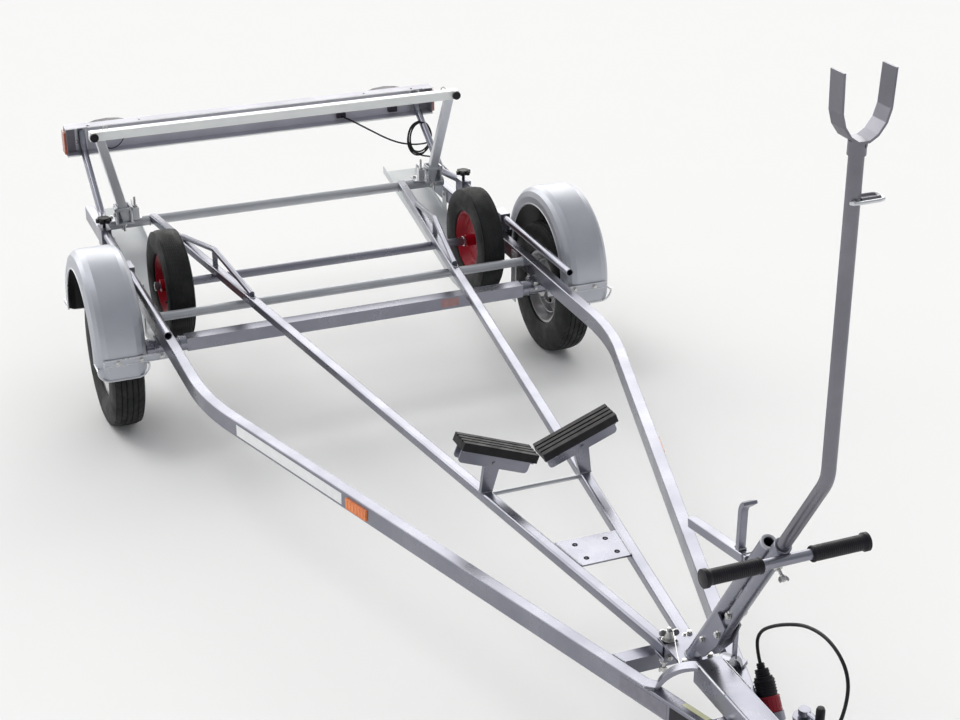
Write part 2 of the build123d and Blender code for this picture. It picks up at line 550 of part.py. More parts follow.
# gunwale bar
STAND_X = REAR_TUBE_HALF - 57.0      # middle of a clamp on the rear tube
CLAMP_H = 70.0
POST_W, POST_D = 36.0, 26.0          # section of a gunwale post
RT_TOP = REAR_TUBE_Z + REAR_TUBE_R
gun = box(-GUN_HALF, GUN_HALF, GUN_Y + 12, GUN_Y + 12 + GUN_S, GUN_Z - GUN_S / 2, GUN_Z + GUN_S / 2)
save("gunwale_bar", gun)
caps, clamps, g0 = [], [], []
for s in (-1, 1):
    cx = s * (GUN_HALF - 13)
    caps.append(rod((cx, GUN_Y + 12, GUN_Z), (cx, GUN_Y - 2, GUN_Z), 16))
    foot = (s * (STAND_X - 12), REAR_TUBE_Y - 39, RT_TOP + 8)
    top = (s * (GUN_HALF - 37), GUN_Y + 30, GUN_Z - GUN_S / 2)
    g0.append(bar([foot, top], 0, POST_W, POST_D, 4, up=(0, 1, 0)))
    y0, y1 = REAR_TUBE_Y - 66, REAR_TUBE_Y - 12
    c = box(s * (STAND_X - 73), s * (STAND_X + 46), REAR_TUBE_Y - 30, REAR_TUBE_Y + 30, RT_TOP, RT_TOP + 6)
    c += box(s * (STAND_X - 37), s * (STAND_X + 31), y0, REAR_TUBE_Y, RT_TOP, RT_TOP + 6)
    c += box(s * (STAND_X - 29), s * (STAND_X - 23), y0, y1, RT_TOP, RT_TOP + CLAMP_H)
    c += box(s * (STAND_X + 23), s * (STAND_X + 29), y0, y1, RT_TOP, RT_TOP + CLAMP_H)
    c += box(s * (STAND_X - 29), s * (STAND_X + 29), y1 - 6, y1, RT_TOP, RT_TOP + CLAMP_H)
    clamps.append(c)
save("gunwale_caps", *caps)
stands = []
for foot, post in zip(clamps, g0):
    stands.append(foot + (post - gun))
save("gunwale_stands", *stands)

# light board
CAR_BEND_R = 60.0
cars = []
for s in (-1, 1):
    pts = [(s * CAR_X, CAR_FRONT, CAR_Z), (s * CAR_X, CAR_IN_Y, CAR_Z), (s * CAR_TOP_X, CAR_CLIMB_Y, CAR_Z), (s * CAR_TOP_X, BOARD_Y1 - 38, BOARD_Z0 + 22),
           (s * CAR_TOP_X, BOARD_Y1 - 12, BOARD_Z0 + 88)]
    c = tube(pts, CAR_BEND_R, CAR_R)
    c -= rod((s * CAR_X, CAR_FRONT - 5, CAR_Z), (s * CAR_X, CAR_FRONT + 80, CAR_Z), CAR_R - 2.5)
    cars.append(c)
save("light_carriers", *cars)
brd = box(-BOARD_HALF, BOARD_HALF, BOARD_Y1 - 3, BOARD_Y1, BOARD_Z0, BOARD_Z1)
brd += box(-BOARD_HALF, BOARD_HALF, BOARD_Y0, BOARD_Y1, BOARD_Z0, BOARD_Z0 + 3)
brd += box(-BOARD_HALF, BOARD_HALF, BOARD_Y0, BOARD_Y1, BOARD_Z1 - 3, BOARD_Z1)
cut = [c for c in cars]
for c in cut:
    brd -= c
save("light_board", brd)
refl = []
for s in (-1, 1):
    refl.append(box(s * BOARD_HALF, s * (BOARD_HALF + 8), BOARD_Y0 + 4, BOARD_Y1, BOARD_Z0 + 10, BOARD_Z1 - 16))
save("board_end_reflectors", *refl)
lamps = []
for s in (-1, 1):
    x = s * LAMP_X
    z0, z1 = BOARD_Z0 + 10, LAMP_TOP
    w = LAMP_W / 2
    pts = [Vector(x - w, BOARD_Y1, z0), Vector(x + w, BOARD_Y1, z0), Vector(x + w, BOARD_Y1, z1 - 18),
           Vector(x + w / 2, BOARD_Y1, z1 - 4), Vector(x, BOARD_Y1, z1), Vector(x - w / 2, BOARD_Y1, z1 - 4),
           Vector(x - w, BOARD_Y1, z1 - 18)]
    lamps.append(extrude(make_face(Polyline(*pts, close=True)), amount=REAR_FACE - BOARD_Y1, dir=(0, 1, 0)))
save("rear_lamps", *lamps)

# carrier sleeves and star knobs
SLEEVE_YS = (800.0, 400.0)        # stations of the carrier sleeves
SLEEVE_HALF = 35.0
KNOB_R, LOBE_R, LOBES = 21.0, 9.0, 6
slv, knobs = [], []
for s in (-1, 1):
    for y in SLEEVE_YS:
        b = box(s * (CAR_X - 19), s * (CAR_X + 19), y - SLEEVE_HALF, y + SLEEVE_HALF, RAIL_TOP - 6, CAR_Z + 19)
        b -= rod((s * CAR_X, y - 50, CAR_Z), (s * CAR_X, y + 50, CAR_Z), CAR_R + RUN)
        b -= box(s * (RAIL_X - 18), s * (RAIL_X + 18), y - 50, y + 50, RAIL_TOP - 20, RAIL_TOP)
        slv.append(b)
    ky = SLEEVE_YS[0]
    k = rod((s * CAR_X, ky, CAR_Z + 19), (s * CAR_X, ky, CAR_Z + 40), 6)
    k += rod((s * CAR_X, ky, CAR_Z + 40), (s * CAR_X, ky, CAR_Z + 58), KNOB_R)
    for n in range(LOBES):
        a = 2 * math.pi * n / LOBES
        lx, ly = s * CAR_X + KNOB_R * math.cos(a), ky + KNOB_R * math.sin(a)
        k += rod((lx, ly, CAR_Z + 41), (lx, ly, CAR_Z + 55), LOBE_R)
    knobs.append(k)
save("carrier_sleeves", *slv)
save("star_knobs", *knobs)

# side reflectors
sr = []
for s in (-1, 1):
    y0, y1 = -1360.0, -1450.0
    z0, z1 = RAIL_TOP - 46, RAIL_TOP - 12
    pts = []
    for y, d in ((y0, 0), (y1, 0), (y1, 6), (y0, 6)):
        pts.append(Vector(s * (v_x(y) + RAIL_W / 2 * math.hypot(1, V_SLOPE) + d), y, z0))
    sr.append(extrude(make_face(Polyline(*pts, close=True)), amount=z1 - z0, dir=(0, 0, 1)))
save("side_reflectors", *sr)

# trolley front clamp
tc = box(-46, 46, T_FRONT - 14, T_FRONT + 34, T_Z - T_S / 2 - 10.8, T_Z - T_S / 2)
tc += box(-46, 46, T_FRONT - 18, T_FRONT - 12, T_Z - T_S / 2 - 10, T_TOP)
tc += box(-48, -10, T_FRONT - 14, T_FRONT + 26, T_TOP + 6, T_TOP + 11)
tc += rod((-24, T_FRONT + 8, T_TOP + 6), (-24, T_FRONT + 8, T_TOP + 34), 6)
tc += box(-46, -2, T_FRONT + 4, T_FRONT + 12, T_TOP + 22, T_TOP + 40)
save("trolley_clamp", tc)

# jockey wheel
jz = 445.0
jc = rod((J_X, J_Y, jz - 25), (J_X, J_Y, jz + 25), J_OUT_R + 8) - rod((J_X, J_Y, jz - 30), (J_X, J_Y, jz + 30), J_OUT_R)
jc += box(10, J_X - J_OUT_R - 2, J_Y - 12, J_Y + 12, jz - 20, jz + 20)
jo = rod((J_X, J_Y, 330), (J_X, J_Y, 500), J_OUT_R) - rod((J_X, J_Y, 260), (J_X, J_Y, 490), J_IN_R + RUN)
jo -= rod((J_X, J_Y, 480), (J_X, J_Y, 510), 8 + RUN)
jo += jc - rod((J_X, J_Y, 260), (J_X, J_Y, 490), J_OUT_R)
jo -= head
save("jockey_tube", jo)
leg = rod((J_X, J_Y, 232.3), (J_X, J_Y, 395), J_IN_R) - rod((J_X, J_Y, 200), (J_X, J_Y, 263), 9 + RUN)
save("jockey_leg", leg)
fork_j = box(J_X - 36, J_X + 36, J_Y - 20, J_Y + 20, 222, 232)
fork_j += box(J_X - 36, J_X - 30, J_Y - 20, J_Y + 50, 80, 232) + box(J_X + 30, J_X + 36, J_Y - 20, J_Y + 50, 80, 232)
fork_j += rod((J_X - 38, J_Y + 35, J_WHEEL_R), (J_X + 38, J_Y + 35, J_WHEEL_R), 8)
fork_j += rod((J_X, J_Y, 228), (J_X, J_Y, 262), 9)
save("jockey_fork", fork_j)
jw = ring([(-24, 8 + RUN), (24, 8 + RUN), (24, 30), (20, 60), (25, 80), (20, 100), (-20, 100), (-25, 80), (-20, 60), (-24, 30)],
          J_X, J_Y + 35, J_WHEEL_R)
save("jockey_wheel", jw)
crank = rod((J_X, J_Y, 491), (J_X, J_Y, 518), 8) + rod((J_X, J_Y, 506), (J_X, J_Y, 520), 14)
crank += rod((J_X, J_Y, 513), (J_X, J_Y - 60, 521), 5) + rod((J_X, J_Y - 60, 517), (J_X, J_Y - 60, 562), 7)
save("jockey_crank", crank)

# front cable, plug and parking cup
CORD_D = 8.5
PL_X = 128.0
pa = Vector(PL_X, -2573.0, 472.0)
pd = Vector(0, -0.551, -0.834).normalized()
PLUG_R = 27.0


def along(t):
    q = pa + pd * t
    return (q.X, q.Y, q.Z)


pcap = rod(along(0), along(18), 9) + rod(along(14), along(34), 16.5) + rod(along(32), along(40), 22)
pcap += rod(along(38), along(78), 24)
save("plug_cap", pcap)
save("plug_body", rod(along(78), along(128), PLUG_R))
cupp = rod(along(116), along(138), PLUG_R + 3) + box(78, 112, -2658, -2634, 368, 388)
cupp -= rod(along(90), along(128), PLUG_R + RUN)
cupp -= rail(1)
cupp = max(cupp.solids(), key=lambda k: k.volume)
save("plug_parking_cup", cupp)
gl = rod((22, -2900, 470), (38, -2900, 470), 11) - head
save("cable_gland", gl)
route = [(38, -2900, 470), (66, -2900, 470), (88, -2922, 498), (102, -2936, 542), (114, -2940, 598), (122, -2932, 652),
         (127, -2896, 686), (131, -2826, 699), (132, -2744, 680), (131, -2670, 639), (129, -2608, 596), (128, -2562, 554),
         tuple(pa - pd * 44), tuple(pa)]
cable = cord(route, CORD_D, "front cable")
save("front_cable", cable)

# rear light cable, its coil and the lamp wire
REAR_D = 7.0
WIRE_D = 4.0
COIL_C = (683.0, 1190.0, 546.0)
COIL_R, COIL_T = 56.0, 7.0
BOX_X = (BOARD_HALF - 393.0, BOARD_HALF - 166.0)
gb = [box(x - 18, x + 18, BOARD_Y1 - 20, BOARD_Y1 - 3, 640, 672) for x in BOX_X]
save("cable_boxes", *gb)
coil = Pos(*COIL_C) * Rot(90, 0, 0) * Torus(COIL_R, COIL_T)
coil -= cars[1]
coil = max(coil.solids(), key=lambda k: k.volume)
save("rear_cable_coil", coil)
sag = [(BOX_X[0], BOARD_Y1 - 20, 656), (BOX_X[0] + 5, 1262, 655), (BOX_X[0] + 24, 1248, 648), (BOX_X[0] + 61, 1236, 626),
       (BOX_X[0] + 113, 1222, 597), (BOX_X[0] + 169, 1206, 567), (BOX_X[0] + 215, 1194, 548), (BOX_X[0] + 247, 1190, 540)]
tail = [(700, 1190, 496), (714, 1160, 490), (720, 1120, 484), (722, 1070, 480), (722, 1020, 478), (722, 975, 475), (724, 938, 473)]
part_a = cord(sag, REAR_D, "rear cable sag") - coil
part_b = cord(tail, REAR_D, "rear cable tail") - coil - cars[1]
save("rear_cable", max(part_a.solids(), key=lambda k: k.volume), max(part_b.solids(), key=lambda k: k.volume))
WIRE_X = -LAMP_X
wire = [(WIRE_X - 37, BOARD_Y1 - 3, 672), (WIRE_X - 36, 1284, 664), (WIRE_X - 27, 1276, 646), (WIRE_X - 3, 1272, 637),
        (WIRE_X + 27, 1275, 646), (WIRE_X + 51, 1284, 670), (WIRE_X + 60, BOARD_Y1 - 3, 686)]
save("lamp_wire", cord(wire, WIRE_D, "lamp wire") - brd)
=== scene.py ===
"""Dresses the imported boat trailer: camera, light, finishes and the fine detail.
Metres, in the row frame: Z up, the coupling toward -Y, X = 0 the plane of symmetry."""
import json
import math
import random

import bpy
import bmesh
from mathutils import Matrix, Vector


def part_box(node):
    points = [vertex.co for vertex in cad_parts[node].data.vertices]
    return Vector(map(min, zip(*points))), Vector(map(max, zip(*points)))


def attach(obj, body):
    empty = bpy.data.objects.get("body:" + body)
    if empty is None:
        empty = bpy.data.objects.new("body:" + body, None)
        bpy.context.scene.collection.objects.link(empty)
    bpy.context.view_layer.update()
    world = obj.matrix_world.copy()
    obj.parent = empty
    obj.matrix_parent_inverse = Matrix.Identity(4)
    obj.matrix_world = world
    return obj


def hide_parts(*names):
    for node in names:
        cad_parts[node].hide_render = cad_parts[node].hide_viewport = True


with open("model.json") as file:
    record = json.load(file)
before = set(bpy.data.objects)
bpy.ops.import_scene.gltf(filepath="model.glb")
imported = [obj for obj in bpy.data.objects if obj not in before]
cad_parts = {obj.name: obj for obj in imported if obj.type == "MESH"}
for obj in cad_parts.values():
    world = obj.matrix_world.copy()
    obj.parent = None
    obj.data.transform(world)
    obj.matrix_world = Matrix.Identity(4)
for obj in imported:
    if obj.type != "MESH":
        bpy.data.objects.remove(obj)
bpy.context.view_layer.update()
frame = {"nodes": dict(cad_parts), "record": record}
nodes = frame["nodes"]
SHIFT = 0.8675          # row frame Y = axle datum Y + SHIFT
SIDES = ((-1, "left"), (1, "right"))
random.seed(7)


def mm(x, y, z):
    """A point in millimetres from the axle datum, in the row frame."""
    return Vector((x / 1000, y / 1000 + SHIFT, z / 1000))


def lo(node):
    return Vector(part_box(node)[0])


def hi(node):
    return Vector(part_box(node)[1])


# Materials

def node_noise(nt, scale, detail, stretch=(1, 1, 1)):
    co = nt.nodes.new("ShaderNodeTexCoord")
    mp = nt.nodes.new("ShaderNodeMapping")
    mp.inputs["Scale"].default_value = stretch
    n = nt.nodes.new("ShaderNodeTexNoise")
    n.inputs["Scale"].default_value = scale
    n.inputs["Detail"].default_value = detail
    nt.links.new(co.outputs["Object"], mp.inputs["Vector"])
    nt.links.new(mp.outputs["Vector"], n.inputs["Vector"])
    return n.outputs["Fac"]


def ramp(nt, fac, low, high, start=0.3, end=0.7):
    r = nt.nodes.new("ShaderNodeMapRange")
    r.inputs["From Min"].default_value = start
    r.inputs["From Max"].default_value = end
    r.inputs["To Min"].default_value = low
    r.inputs["To Max"].default_value = high
    nt.links.new(fac, r.inputs["Value"])
    return r.outputs["Result"]


def tint(nt, fac, a, b, under=None):
    """Colour a at 0 and b at 1; a socket given as under takes the place of colour a."""
    mix = nt.nodes.new("ShaderNodeMix")
    mix.data_type = "RGBA"
    mix.inputs["A"].default_value = (*a, 1)
    mix.inputs["B"].default_value = (*b, 1)
    if under is not None:
        nt.links.new(under, mix.inputs["A"])
    nt.links.new(fac, mix.inputs["Factor"])
    return mix.outputs["Result"]


def bump(nt, bsdf, fac, strength, distance):
    bp = nt.nodes.new("ShaderNodeBump")
    bp.inputs["Strength"].default_value = strength
    bp.inputs["Distance"].default_value = distance
    nt.links.new(fac, bp.inputs["Height"])
    nt.links.new(bp.outputs["Normal"], bsdf.inputs["Normal"])
    return bp


def material(name, color, dark=None, metallic=0.0, rough=(0.4, 0.5), scale=12.0, stretch=(1, 1, 1), grain=60.0,
             grain_bump=0.1, coat=0.0, gloss=0.5):
    """A finish whose colour and gloss drift with one noise and whose surface has a second, finer one."""
    m = bpy.data.materials.new(name)
    m.use_nodes = True
    nt = m.node_tree
    b = nt.nodes["Principled BSDF"]
    b.inputs["Metallic"].default_value = metallic
    b.inputs["Coat Weight"].default_value = coat
    b.inputs["Specular IOR Level"].default_value = gloss
    drift = node_noise(nt, scale, 5, stretch)
    shade = dark or tuple(c * 0.8 for c in color)
    nt.links.new(tint(nt, ramp(nt, drift, 0, 1), shade, color), b.inputs["Base Color"])
    nt.links.new(ramp(nt, drift, rough[1], rough[0]), b.inputs["Roughness"])
    bump(nt, b, node_noise(nt, grain, 4, stretch), grain_bump, 0.0015)
    return m


def zinc(name, color, dark, rough, metallic=0.92, spangle=0.10, ripple=0.05, dim_inside=False):
    """Hot-dip zinc: crystal flowers in the gloss, a slow drift of tone and a slightly wavy skin. With dim_inside
    the faces that look toward the middle of a mudguard are near black and not metallic."""
    m = bpy.data.materials.new(name)
    m.use_nodes = True
    nt = m.node_tree
    b = nt.nodes["Principled BSDF"]
    b.inputs["Metallic"].default_value = metallic
    co = nt.nodes.new("ShaderNodeTexCoord")
    vor = nt.nodes.new("ShaderNodeTexVoronoi")
    vor.inputs["Scale"].default_value = 95
    nt.links.new(co.outputs["Object"], vor.inputs["Vector"])
    sep = nt.nodes.new("ShaderNodeSeparateColor")
    nt.links.new(vor.outputs["Color"], sep.inputs["Color"])
    drift = node_noise(nt, 7, 5)
    add = nt.nodes.new("ShaderNodeMath")
    add.operation = "MULTIPLY_ADD"
    add.inputs[1].default_value = spangle
    nt.links.new(sep.outputs["Red"], add.inputs[0])
    nt.links.new(ramp(nt, drift, 0, 1 - spangle), add.inputs[2])
    skin = tint(nt, add.outputs["Value"], dark, color)
    if dim_inside:
        inside = looks_inward(nt)
        skin = tint(nt, inside, (0.012, 0.012, 0.015), (0.012, 0.012, 0.015), skin)
        nt.links.new(ramp(nt, inside, metallic, 0.0, 0, 1), b.inputs["Metallic"])
    nt.links.new(skin, b.inputs["Base Color"])
    nt.links.new(ramp(nt, add.outputs["Value"], rough[1], rough[0], 0, 1), b.inputs["Roughness"])
    bump(nt, b, node_noise(nt, 55, 3), ripple, 0.002)
    return m


def looks_inward(nt):
    """1 where a face looks toward the middle of the wheel arch that it belongs to, else 0."""
    geo = nt.nodes.new("ShaderNodeNewGeometry")
    sep = nt.nodes.new("ShaderNodeSeparateXYZ")
    nt.links.new(geo.outputs["Position"], sep.inputs["Vector"])
    sign = nt.nodes.new("ShaderNodeMath")
    sign.operation = "SIGN"
    nt.links.new(sep.outputs["X"], sign.inputs[0])
    middle = nt.nodes.new("ShaderNodeCombineXYZ")
    middle.inputs["Y"].default_value = (MG_Y / 1000) + SHIFT
    middle.inputs["Z"].default_value = (MG_Z - 60) / 1000
    across = nt.nodes.new("ShaderNodeMath")
    across.operation = "MULTIPLY"
    across.inputs[1].default_value = (MG_X0 + MG_X1) / 2000
    nt.links.new(sign.outputs["Value"], across.inputs[0])
    nt.links.new(across.outputs["Value"], middle.inputs["X"])
    away = nt.nodes.new("ShaderNodeVectorMath")
    away.operation = "SUBTRACT"
    nt.links.new(geo.outputs["Position"], away.inputs[0])
    nt.links.new(middle.outputs["Vector"], away.inputs[1])
    dot = nt.nodes.new("ShaderNodeVectorMath")
    dot.operation = "DOT_PRODUCT"
    nt.links.new(away.outputs["Vector"], dot.inputs[0])
    nt.links.new(geo.outputs["True Normal"], dot.inputs[1])
    less = nt.nodes.new("ShaderNodeMath")
    less.operation = "LESS_THAN"
    less.inputs[1].default_value = 0.0
    nt.links.new(dot.outputs["Value"], less.inputs[0])
    return less.outputs["Value"]


# Mudguard sizes, in millimetres from the axle datum
MG_X0, MG_X1, MG_R, MG_Z, MG_Y, MG_END, MG_REAR_END, MG_EDGE, MG_CORNER = 773, 947, 293, 349, 180, 290, 320, 64, 42

GALV = zinc("galvanised", (0.272, 0.276, 0.32), (0.222, 0.227, 0.27), (0.24, 0.34))
TUBE = zinc("tube_zinc", (0.47, 0.485, 0.515), (0.41, 0.425, 0.455), (0.28, 0.38), 0.6)
TRAY = zinc("tray_sheet", (0.62, 0.64, 0.65), (0.54, 0.56, 0.58), (0.40, 0.50), 0.4, 0.06, 0.02)
MAST = zinc("mast_zinc", (0.205, 0.20, 0.23), (0.155, 0.155, 0.18), (0.26, 0.36))
SHEET = zinc("guard_sheet", (0.46, 0.475, 0.52), (0.40, 0.415, 0.46), (0.38, 0.46), 0.6, 0.06, 0.02, True)
# guard_edge is a lighter, glossier copy of the guard zinc: painted highlight on the rolled mudguard edges, the stay
# edges and the head edges, and painted light that makes the gunwale stands, their straps and the carrier plates lighter
SHEET_EDGE = zinc("guard_edge", (0.66, 0.675, 0.70), (0.56, 0.575, 0.61), (0.26, 0.36), 0.7, 0.06, 0.02)
BOARD = zinc("board_sheet", (0.52, 0.515, 0.58), (0.46, 0.455, 0.52), (0.45, 0.55), 0.25, 0.05, 0.02)
WELD = zinc("weld_bead", (0.34, 0.35, 0.38), (0.24, 0.25, 0.28), (0.3, 0.45))
BRIGHT = material("plated_bolt", (0.62, 0.62, 0.61), (0.42, 0.42, 0.41), 1.0, (0.2, 0.32), 40)
SILVER = material("rim_silver", (0.52, 0.52, 0.53), (0.36, 0.36, 0.37), 0.75, (0.25, 0.4), 20)
RED = material("rim_red", (0.36, 0.006, 0.020), (0.26, 0.003, 0.012), 0.0, (0.3, 0.42), 15, grain_bump=0.03, gloss=0.2)
TYRE = material("tyre_black", (0.019, 0.0195, 0.0205), (0.010, 0.0105, 0.011), 0.0, (0.5, 0.7), 25, grain=700, gloss=0.26)
PAD = material("pad_black", (0.012, 0.011, 0.014), (0.006, 0.006, 0.007), 0.0, (0.42, 0.6), 30, grain=500, gloss=0.25)
GRIP = material("grip_black", (0.013, 0.011, 0.016), (0.006, 0.005, 0.008), 0.0, (0.36, 0.5), 40, grain=600, gloss=0.25)
WHITE = material("white_coat", (0.93, 0.95, 0.935), (0.88, 0.905, 0.90), 0.0, (0.28, 0.4), 9, coat=0.3)
ORANGE = material("reflector_orange", (0.88, 0.24, 0.02), (0.70, 0.14, 0.01), 0.0, (0.15, 0.25), 60, grain=900,
                  grain_bump=0.4, coat=0.7)
AMBER = material("end_reflector", (0.40, 0.10, 0.045), (0.30, 0.07, 0.035), 0.0, (0.25, 0.35), 60, grain=900,
                 grain_bump=0.3, coat=0.3)
LAMP = material("lamp_dark", (0.035, 0.028, 0.045), (0.02, 0.016, 0.026), 0.0, (0.35, 0.5), 20, gloss=0.3)
LENS_RED = material("lens_red", (0.42, 0.004, 0.006), (0.28, 0.002, 0.003), 0.0, (0.1, 0.2), 60, coat=0.8)
PLUGRED = material("plug_red", (0.30, 0.010, 0.025), (0.20, 0.005, 0.015), 0.0, (0.35, 0.45), 30, coat=0.1, gloss=0.3)
CABLE = material("cable_black", (0.010, 0.010, 0.012), (0.006, 0.006, 0.007), 0.0, (0.4, 0.55), 60, gloss=0.25)
# grey for sheets inside the light board's open ends: painted shade of the board's inner web
END_SHADE_GREY = material("board_end_shade_grey", (0.24, 0.23, 0.26), (0.19, 0.18, 0.21), 0.0, (0.4, 0.5), 20)
DARK = material("inner_shadow", (0.008, 0.009, 0.014), None, 0.0, (0.8, 0.9), 30, gloss=0.1)
LABEL = material("blank_label", (0.84, 0.85, 0.86), (0.78, 0.79, 0.80), 0.0, (0.3, 0.4), 50, coat=0.2)
LABEL_GREY = material("blank_grey_label", (0.20, 0.195, 0.24), (0.165, 0.16, 0.20), 0.0, (0.3, 0.4), 50, coat=0.1)
LABEL_YELLOW = material("blank_yellow_label", (0.68, 0.68, 0.44), (0.60, 0.60, 0.38), 0.0, (0.3, 0.4), 50, coat=0.2)
LABEL_RED = material("blank_type_label", (0.40, 0.22, 0.22), (0.32, 0.17, 0.17), 0.0, (0.35, 0.5), 50)
LABEL_DARK = material("blank_dark_label", (0.013, 0.010, 0.018), (0.008, 0.006, 0.010), 0.0, (0.3, 0.45), 50, gloss=0.3)
by_slot = {"galvanised": GALV, "road_rim_silver": SILVER, "rim_red": RED, "tyre_black": TYRE, "pad_black": PAD,
           "grip_black": GRIP, "white_coat": WHITE, "reflector_orange": ORANGE, "lamp_dark": LAMP,
           "plug_red": PLUGRED, "cable_black": CABLE}
slot_of = {sub["node"]: sub["material_slot"] for sub in frame["record"]["subparts"]}
for name, slot in slot_of.items():
    ob = nodes[name]
    ob.data.materials.clear()
    ob.data.materials.append(by_slot[slot])
    if slot != "cable_black":
        bev = ob.modifiers.new("edge", "BEVEL")
        bev.width = 0.0012
        bev.segments = 2
        bev.limit_method = "ANGLE"
        bev.angle_limit = math.radians(35)
        ob.modifiers.new("wn", "WEIGHTED_NORMAL")
# gunwale_stands take the lighter edge zinc: painted light
for name, mat in (("mudguard_left", SHEET), ("mudguard_right", SHEET), ("mast_post", MAST), ("mast_fork", MAST),
                  ("light_board", BOARD), ("board_end_reflectors", AMBER), ("frame_mid_tube", TUBE),
                  ("trolley_cross_tubes", TUBE), ("wheel_tray_left", TRAY), ("wheel_tray_right", TRAY),
                  ("gunwale_stands", SHEET_EDGE)):
    nodes[name].data.materials[0] = mat


# Mesh helpers

def piece(name, bm, mat, body, smooth=True):
    me = bpy.data.meshes.new(name)
    bmesh.ops.recalc_face_normals(bm, faces=bm.faces)
    bm.to_mesh(me)
    bm.free()
    me.materials.append(mat)
    for p in me.polygons:
        p.use_smooth = smooth
    if smooth:
        me.set_sharp_from_angle(angle=math.radians(38))
    ob = bpy.data.objects.new(name, me)
    bpy.context.scene.collection.objects.link(ob)
    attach(ob, body)
    return ob


def bevelled(ob, width, segments=2, angle=35):
    bev = ob.modifiers.new("edge", "BEVEL")
    bev.width = width
    bev.segments = segments
    bev.limit_method = "ANGLE"
    bev.angle_limit = math.radians(angle)
    ob.modifiers.new("wn", "WEIGHTED_NORMAL")
    return ob


def turn_to(axis):
    return Vector(axis).to_track_quat("Z", "Y").to_matrix().to_4x4()


def lathe(bm, profile, centre, axis, steps=32):
    """Revolve (radius, along) points about an axis through centre; ends on the axis are closed by a fan."""
    m = Matrix.Translation(centre) @ turn_to(axis)
    rings = []
    for r, h in profile:
        if r < 1e-6:
            rings.append([bm.verts.new(m @ Vector((0, 0, h)))])
            continue
        ring = []
        for i in range(steps):
            a = 2 * math.pi * i / steps
            ring.append(bm.verts.new(m @ Vector((r * math.cos(a), r * math.sin(a), h))))
        rings.append(ring)
    for a, b in zip(rings, rings[1:]):
        for i in range(steps):
            j = (i + 1) % steps
            if len(a) == 1 and len(b) == 1:
                continue
            if len(a) == 1:
                bm.faces.new((a[0], b[i], b[j]))
            elif len(b) == 1:
                bm.faces.new((a[i], b[0], a[j]))
            else:
                bm.faces.new((a[i], b[i], b[j], a[j]))


def prism(bm, outline, plane_matrix, depth):
    """Extrude a closed outline of (u, v) points by depth along the plane's normal."""
    low = [bm.verts.new(plane_matrix @ Vector((u, v, 0))) for u, v in outline]
    high = [bm.verts.new(plane_matrix @ Vector((u, v, depth))) for u, v in outline]
    bm.faces.new(low)
    bm.faces.new(high[::-1])
    n = len(outline)
    for i in range(n):
        j = (i + 1) % n
        bm.faces.new((low[i], low[j], high[j], high[i]))


def slab(bm, low, high):
    x0, y0, z0 = low
    x1, y1, z1 = high
    prism(bm, [(x0, y0), (x1, y0), (x1, y1), (x0, y1)], Matrix.Translation((0, 0, z0)), z1 - z0)


def bolt(bm, seat, axis, size=0.008, nut=False):
    """Washer and hexagon head (or nut with a thread end) on a seat, size = thread diameter."""
    axis = Vector(axis).normalized()
    m = Matrix.Translation(seat) @ turn_to(axis)
    r = size * 0.92
    wash = size * 0.16
    lathe(bm, [(0, 0), (size * 1.05, 0), (size * 1.05, wash), (0, wash)], seat, axis, 20)
    hexa = [(r * math.cos(math.radians(60 * i + 11)), r * math.sin(math.radians(60 * i + 11))) for i in range(6)]
    prism(bm, hexa, m @ Matrix.Translation((0, 0, wash)), size * 0.62)
    top = wash + size * 0.62
    if nut:
        lathe(bm, [(0, top - 0.001), (size * 0.48, top - 0.001), (size * 0.48, top + size * 0.4), (size * 0.4, top + size * 0.5),
                   (0, top + size * 0.5)], seat, axis, 16)
    else:
        lathe(bm, [(0, top - 0.001), (r * 0.80, top - 0.001), (r * 0.74, top + size * 0.06), (0, top + size * 0.08)], seat, axis, 18)


def bolts(name, body, places):
    bm = bmesh.new()
    for seat, axis, size, nut in places:
        bolt(bm, seat, axis, size, nut)
    return bevelled(piece(name, bm, BRIGHT, body, smooth=False), 0.0005, 1)


# Cords

def cord_curve(name, points, dia, mat, body, replaces):
    cu = bpy.data.curves.new(name, "CURVE")
    cu.dimensions = "3D"
    cu.bevel_depth = dia / 2
    cu.bevel_resolution = 4
    cu.use_fill_caps = True
    sp = cu.splines.new("NURBS")
    sp.points.add(len(points) - 1)
    for p, q in zip(sp.points, points):
        p.co = (*q, 1)
    sp.order_u = 3
    sp.use_endpoint_u = True
    sp.resolution_u = 6
    ob = bpy.data.objects.new(name, cu)
    bpy.context.scene.collection.objects.link(ob)
    ob.data.materials.append(mat)
    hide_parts(*replaces)
    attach(ob, body)
    return ob


PLUG_AT = Vector((128, -2573, 472))
PLUG_DIR = Vector((0, -0.551, -0.834)).normalized()
front_mm = [(38, -2900, 470), (66, -2900, 470), (88, -2922, 498), (102, -2936, 542), (114, -2940, 598), (122, -2932, 652),
            (127, -2896, 686), (131, -2826, 699), (132, -2744, 680), (131, -2670, 639), (129, -2608, 596),
            (128, -2562, 554), tuple(PLUG_AT - PLUG_DIR * 44), tuple(PLUG_AT)]
front_pts = [mm(*p) for p in front_mm]
front = cord_curve("front_cable_line", front_pts, 0.0085, CABLE, "frame", ["front_cable"])

BOX_X = 373
sag_mm = [(BOX_X, 1280, 656), (BOX_X + 5, 1262, 655), (BOX_X + 24, 1248, 648), (BOX_X + 61, 1236, 626),
          (BOX_X + 113, 1222, 595), (BOX_X + 169, 1206, 562), (BOX_X + 215, 1194, 542), (BOX_X + 254, 1184, 533),
          (BOX_X + 290, 1177, 529), (BOX_X + 324, 1175, 529), (BOX_X + 350, 1177, 533)]
